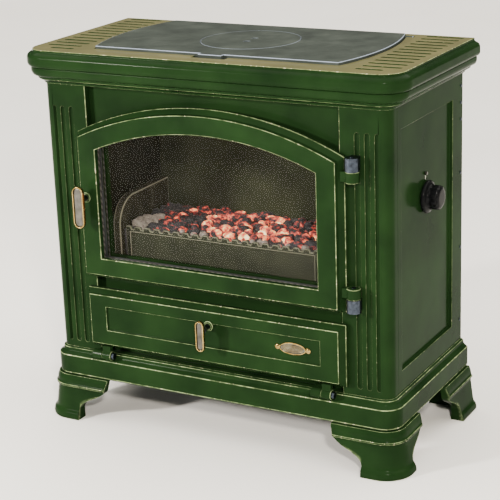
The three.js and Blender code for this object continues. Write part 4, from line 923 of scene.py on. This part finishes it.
def handle(prefix, body, door_body, door_face):
    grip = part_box(f"{prefix}_grip")
    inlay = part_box(f"{prefix}_inlay")
    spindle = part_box(f"{prefix}_spindle")
    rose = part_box(f"{prefix}_escutcheon")
    x0, x1, z0, z1 = grip[0].x / MM, grip[1].x / MM, grip[0].z / MM, grip[1].z / MM
    front, rear = (grip[0].y - face) / MM, (grip[1].y - face) / MM
    outline = stadium(x0, x1, z0, z1, 14)
    form = new_form()
    line = soften([(-8, rear, 0), (-1.5, rear, 2), (0, (front + rear) / 2, 3), (-1.2, front, 1.4),
                   (-3.2, front, 0.8),
                   (-3.2, front + 3.4, 0)])
    loft(form, stacked("y", [(grown(outline, by), y, 0) for by, y, _ in line]), cap_first=True, cap_last=True)
    finish_piece(form, f"{prefix}_rim", polished_brass, body, "brass", f"{prefix}_grip")
    form = new_form()
    bed = stadium(inlay[0].x / MM, inlay[1].x / MM, inlay[0].z / MM, inlay[1].z / MM, 14)
    near, far = (inlay[0].y - face) / MM, (inlay[1].y - face) / MM
    line = [(0, far, 0), (0, near + 1.2, 0), (-0.6, near + 0.5, 0), (-1.8, near + 0.1, 0), (-3, near, 0)]
    loft(form, stacked("y", [(grown(bed, by), y, edge_mark) for by, y, edge_mark in line]), cap_first=True,
         cap_last=True)
    finish_piece(form, f"{prefix}_bed", nickel, body, "nickel", f"{prefix}_inlay")
    middle = (rose[0].x + rose[1].x) / 2 / MM, 0, (rose[0].z + rose[1].z) / 2 / MM
    form = new_form()
    inner = (spindle[1].y - face) / MM
    stem = soften([(0, rear + 0.3, 0), (8.2, rear + 0.3, 1), (7.4, rear + 5, 2), (5, rear + 10, -4),
                   (4.9, inner, 0.6), (0, inner, 0)])
    turned(form, [(r, y, 0) for r, y, _ in stem], "y", middle, 28)
    tongue = {"door_handle": (middle[0] - 18, middle[0], middle[2] - 4, middle[2] + 4),
              "ash_handle": (middle[0] - 4, middle[0] + 4, middle[2], middle[2] + 16)}[prefix]
    thick = {"door_handle": 6, "ash_handle": 4}[prefix]
    plate = rectangle(*tongue)
    loft(form, stacked("y", [(grown(plate, -0.6), inner - thick, 0), (plate, inner - thick + 0.6, 0),
                             (plate, inner - 0.6, 0),
                             (grown(plate, -0.6), inner, 0)]), cap_first=True, cap_last=True)
    finish_piece(form, f"{prefix}_stem", zinc, body, "zinc_steel", f"{prefix}_spindle")
    form = new_form()
    collar = soften([(5.4, door_face - 0.3, 0), (9.5, door_face - 0.3, 0.8), (9.0, door_face - 3.2, 1.6),
                     (6.2, door_face - 4.6, 0.8),
                     (5.4, door_face - 4.2, 0)])
    rows = [(circle(middle[0], middle[2], r, 40), y, edge_mark) for r, y, edge_mark in collar]
    loft(form, stacked("y", rows), ring=True)
    finish_piece(form, f"{prefix}_rose", green, door_body, "green_enamel", f"{prefix}_escutcheon")


handle("door_handle", "fire_door_handle", "fire_door", FACE_Y)
handle("ash_handle", "ash_door_handle", "ash_door", ASH_FACE)

# ---- Thermostat knob ----
# Moulded black bakelite: a flat skirt with a dished edge and a fluted cap, polished by hands. The index above
# it is a small nickel stud with a short white line.
bakelite, tree, place = new_material("bakelite, moulded glossy black")
finish_surface(tree, Base_Color=ramp(tree, grain(tree, place, 6, 4), (0.3, "#08090a"), (0.7, "#131416")),
               IOR=1.12,
               Roughness=add(tree, "MapRange", {"Value": grain(tree, place, 9, 4), "To Min": 0.12,
                                                "To Max": 0.3}).outputs["Result"],
               Normal=bump(tree, grain(tree, place, 2, 2), 0.02))
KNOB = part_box("thermostat_knob")
knob_x0, knob_x1 = KNOB[0].x / MM, KNOB[1].x / MM
knob_y, knob_z = ((KNOB[0].y + KNOB[1].y) / 2 - face) / MM, (KNOB[0].z + KNOB[1].z) / 2 / MM
skirt_radius = (KNOB[1].z - KNOB[0].z) / 2 / MM
FLUTE_COUNT, KNOB_STEPS = 10, 120
form = new_form()
knob_line = soften([(0, 0, 0), (skirt_radius - 1, 0, 0.8), (skirt_radius, 3, 1.5),
                    (skirt_radius - 1.5, 6, 1.5),
                    (skirt_radius - 7, 8, -2), (skirt_radius - 8, 12, 1), (skirt_radius - 7, 17, 4),
                    (skirt_radius - 8, 25, 3.5), (skirt_radius - 14, 28, 3), (0, 28, 0)], 5)
rows = []
for radius, along, _ in knob_line:
    depth = 1.6 * max(0.0, min(1.0, (along - 9) / 4)) * max(0.0, min(1.0, (27.5 - along) / 3))
    row = []
    for i in range(KNOB_STEPS):
        a = 2 * math.pi * i / KNOB_STEPS
        here = max(0.02, radius - (depth * (0.5 + 0.5 * math.cos(FLUTE_COUNT * a)) ** 2 if radius > 15 else 0))
        row.append(((knob_x0 + along * (knob_x1 - knob_x0) / 28, knob_y + here * math.cos(a),
                     knob_z + here * math.sin(a)), 0))
    rows.append(row)
loft(form, rows, cap_first=True, cap_last=True)
finish_piece(form, "knob_moulding", bakelite, "thermostat", "bakelite", "thermostat_knob")
round_edges("index_stud", 0.6, nickel)

white_line, tree, place = new_material("enamel, fired white")
finish_surface(tree, Base_Color=ramp(tree, grain(tree, place, 3, 2), (0.3, "#c9c7b8"), (0.7, "#e2e0d2")),
               Roughness=0.2)
form = new_form()
tick = stadium(knob_y - 0.7, knob_y + 0.7, knob_z + skirt_radius + 1.5, knob_z + skirt_radius + 8, 4)
loft(form, stacked("x", [(tick, HALF - FIELD_DEEP, 0), (tick, HALF - FIELD_DEEP + 0.3, 0)]), cap_first=True,
     cap_last=True)
finish_piece(form, "index_line", white_line, "stove", "nickel")

# ---- Fire ----
# Fireclay bricks line both ends of the grate. The fuel is a heap of broken charcoal: black crust, glowing
# red to yellow in its cracks, with pale ash on the lumps at the left and along the front.
clay, tree, place = new_material("fireclay, smoked and crazed")
crazing = add(tree, "TexVoronoi", {"Vector": place, "Scale": 1 / (18 * MM)},
              feature="DISTANCE_TO_EDGE").outputs["Distance"]
crack = add(tree, "MapRange", {"Value": crazing, "From Max": 0.06}).outputs["Result"]
smoke = grain(tree, place, 35, 5, 0.65)
tone = ramp(tree, smoke, (0.3, "#1b1b14"), (0.55, "#2a291f"), (0.75, "#3f3e30"))
# The bricks' marked edges are painted #7c7a66, a painted highlight along their rounded edges.
pale_edge_mask = add(tree, "Attribute", attribute_name="edge").outputs["Fac"]
tone = add(tree, "MixRGB", {"Fac": pale_edge_mask, "Color1": tone, "Color2": linear("#7c7a66")}).outputs["Color"]
finish_surface(tree, Base_Color=tone, Roughness=0.95, IOR=1.1,
               Normal=bump(tree, crack, 0.3, bump(tree, grain(tree, place, 3, 4), 0.5)))
SHOULDER = 52.0
for hand in ("left", "right"):
    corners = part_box(f"side_brick_{hand}")
    x0, x1, z0, z1 = (corners[0].x / MM, corners[1].x / MM, corners[0].z / MM, corners[1].z / MM)
    y0, y1 = (corners[0].y - face) / MM, (corners[1].y - face) / MM
    brick = [(y0, z0), (y1, z0), (y1, z1)] + arc(y0 + SHOULDER, z1 - SHOULDER, SHOULDER, 90, 180, 14)
    form = new_form()
    loft(form, stacked("x", [(grown(brick, -3), x0, 0), (grown(brick, -0.9), x0 + 0.6, 1),
                             (brick, x0 + 2.5, 0),
                             (brick, x1 - 2.5, 0), (grown(brick, -0.9), x1 - 0.6, 1),
                             (grown(brick, -3), x1, 0)]),
         cap_first=True, cap_last=True)
    finish_piece(form, f"fireclay_cheek_{hand}", clay, "stove", "fireclay", f"side_brick_{hand}")

# The retainer is a cast plate across the front of the grate, with a raised rim and a row of short teeth on top.
PLATE_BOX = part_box("fuel_retainer")
x0, x1, z0, z1 = (PLATE_BOX[0].x / MM, PLATE_BOX[1].x / MM, PLATE_BOX[0].z / MM, PLATE_BOX[1].z / MM)
y0, y1 = (PLATE_BOX[0].y - face) / MM, (PLATE_BOX[1].y - face) / MM
TOOTH_PITCH, TOOTH_DEEP, RIM_WIDE = 20.0, 5.0, 8.0
teeth = int((x1 - x0) // TOOTH_PITCH)
start = (x0 + x1 - teeth * TOOTH_PITCH) / 2
crest = []
for i in range(teeth):
    left = start + i * TOOTH_PITCH + 5
    crest += [(left, z1), (left + 2, z1 - TOOTH_DEEP), (left + 8, z1 - TOOTH_DEEP), (left + 10, z1)]
retainer_edge = [(x0, z0), (x1, z0), (x1, z1)] + crest[::-1] + [(x0, z1)]
panel = rectangle(x0 + RIM_WIDE, x1 - RIM_WIDE, z0 + RIM_WIDE, z1 - TOOTH_DEEP - 4)
RUBBED = 0.061  # specular level of rubbed iron: a little more sheen than plain scale
worn_iron, tree, place = new_material("cast iron, scorched, rubbed pale on its edges")
scorch = grain(tree, place, 45, 4, 0.6)
pale_edge_mask = add(tree, "Attribute", attribute_name="edge").outputs["Fac"]
tone = add(tree, "MixRGB", {"Fac": pale_edge_mask, "Color1": ramp(tree, scorch, (0.3, "#1e2018"), (0.7, "#2d3024")),
                            "Color2": linear("#8b8c78")}).outputs["Color"]
finish_surface(tree, Base_Color=tone, Roughness=0.6, Specular_IOR_Level=RUBBED,
               Normal=bump(tree, grain(tree, place, 3, 3), 0.1))
form = new_form()
back_rows = loft(form, stacked("y", [(retainer_edge, y1, 0), (retainer_edge, y0 + 0.6, 0.9),
                                     (grown(retainer_edge, -0.4), y0, 0.9),
                                       (grown(retainer_edge, -0.9), y0, 0)]))
panel_rows = loft(form, stacked("y", [(grown(panel, 0.9), y0, 0), (panel, y0, 0.9),
                                      (grown(panel, -1), y0 + 1.5, 0)]), cap_last=True)
fill(form, back_rows[0])
fill(form, back_rows[-1], panel_rows[0])
finish_piece(form, "fuel_retainer_casting", worn_iron, "stove", "sooty_iron", "fuel_retainer")

charcoal, tree, place = new_material("charcoal, glowing")
heat = add(tree, "Attribute", attribute_name="warmth").outputs["Fac"]
pale_ash = add(tree, "Attribute", attribute_name="ash").outputs["Fac"]
veins = add(tree, "MapRange", {"Value": grain(tree, place, 13, 3, 0.6), "From Min": 0.32, "From Max": 0.68,
                               "To Min": -0.85, "To Max": -0.05}).outputs["Result"]
glow = add(tree, "Math", {0: veins, 1: heat}, operation="ADD").outputs[0]
crust = ramp(tree, grain(tree, place, 8, 5, 0.7), (0.3, "#17171a"), (0.7, "#3b3a3f"))
ashy = ramp(tree, grain(tree, place, 5, 5, 0.7), (0.3, "#6b625a"), (0.7, "#b5aca2"))
tone = add(tree, "MixRGB", {"Fac": pale_ash, "Color1": crust, "Color2": ashy}).outputs["Color"]
fire_tone = ramp(tree, glow, (0.0, "#1c0506"), (0.14, "#a02019"), (0.34, "#e8583c"), (0.55, "#ffa25e"),
                 (0.72, "#ffe9a8"))
strength = add(tree, "MapRange", {"Value": glow, "From Max": 0.75, "To Max": 3.4}).outputs["Result"]
finish_surface(tree, Base_Color=tone, Roughness=0.9, Emission_Color=fire_tone, Emission_Strength=strength,
               Normal=bump(tree, grain(tree, place, 3, 4), 0.6))

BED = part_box("ember_bed")
bed_x0, bed_x1 = BED[0].x / MM, BED[1].x / MM
bed_y0, bed_y1 = (BED[0].y - face) / MM, (BED[1].y - face) / MM
bed_low, bed_high = BED[0].z / MM, BED[1].z / MM
random.seed(7)
form = bmesh.new()
form.verts.layers.float.new("warmth")
form.verts.layers.float.new("ash")
heat_layer, ash_layer = form.verts.layers.float["warmth"], form.verts.layers.float["ash"]


def lump(x, y, z, size, heat, ash):
    made = bmesh.ops.create_icosphere(form, subdivisions=3, radius=1.0)["verts"]
    stretch = Vector((random.uniform(0.8, 1.5), random.uniform(0.7, 1.1), random.uniform(0.55, 0.85)))
    spin = Matrix.Rotation(random.uniform(0, 6.28), 3, "Z") @ Matrix.Rotation(random.uniform(-0.4, 0.4), 3,
                                                                              "X")
    seed = Vector((random.uniform(-9, 9), random.uniform(-9, 9), random.uniform(-9, 9)))
    for vert in made:
        rough = 1 + 0.3 * noise.noise(vert.co * 1.3 + seed) + 0.12 * noise.noise(vert.co * 4 + seed)
        local = spin @ Vector(a * b for a, b in zip(vert.co * rough, stretch)) * size
        x_here = min(max(x + local.x, bed_x0), bed_x1)
        y_here = min(max(y + local.y, bed_y0), bed_y1)
        vert.co = at(x_here, y_here, min(z + local.z, bed_high))
        vert[heat_layer] = heat
        vert[ash_layer] = ash


rows_deep, lumps_wide = 9, 22
for j in range(rows_deep):
    for i in range(lumps_wide):
        across = (i + 0.5 + random.uniform(-0.35, 0.35)) / lumps_wide
        deep = (j + 0.5 + random.uniform(-0.35, 0.35)) / rows_deep
        x = bed_x0 + across * (bed_x1 - bed_x0)
        y = bed_y0 + deep * (bed_y1 - bed_y0)
        centre = 1 - abs(across - 0.52) * 2
        hot = 0.44 + 0.2 * centre + 0.55 * noise.noise(Vector((x, y, 0)) * 0.022) + random.uniform(-0.18,
                                                                                                   0.12)
        if 0.3 < across < 0.8 and j < 4 and random.random() < 0.3:
            hot += 0.25
        if across > 0.88 or across < 0.13:
            hot -= 0.3
        ash = 1.0 if (across < 0.1 and deep < 0.5) else (0.75 if j == 0 and random.random() < 0.55 else 0.0)
        size = random.uniform(7, 13) * (0.6 if j == 0 else 1.0)
        lump(x, y, bed_high - 9 - 2 * deep + random.uniform(-2, 2), size, hot - 0.25 * ash, ash)
slab = rectangle(bed_x0, bed_x1, bed_y0, bed_y1)
base = [form.verts.new(at(u, v, bed_low)) for u, v in slab]
lid = [form.verts.new(at(u, v, bed_high - 12)) for u, v in slab]
for vert in base + lid:
    vert[heat_layer], vert[ash_layer] = -1.0, 0.0
for i in range(4):
    form.faces.new((base[i - 1], base[i], lid[i], lid[i - 1]))
form.faces.new(lid)
form.faces.new(base)
bmesh.ops.recalc_face_normals(form, faces=form.faces)
mesh = bpy.data.meshes.new("charcoal_heap")
form.to_mesh(mesh)
form.free()
mesh.polygons.foreach_set("use_smooth", [True] * len(mesh.polygons))
mesh.materials.append(charcoal)
heap = bpy.data.objects.new("charcoal_heap", mesh)
bpy.context.scene.collection.objects.link(heap)
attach(heap, "stove")
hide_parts("ember_bed")
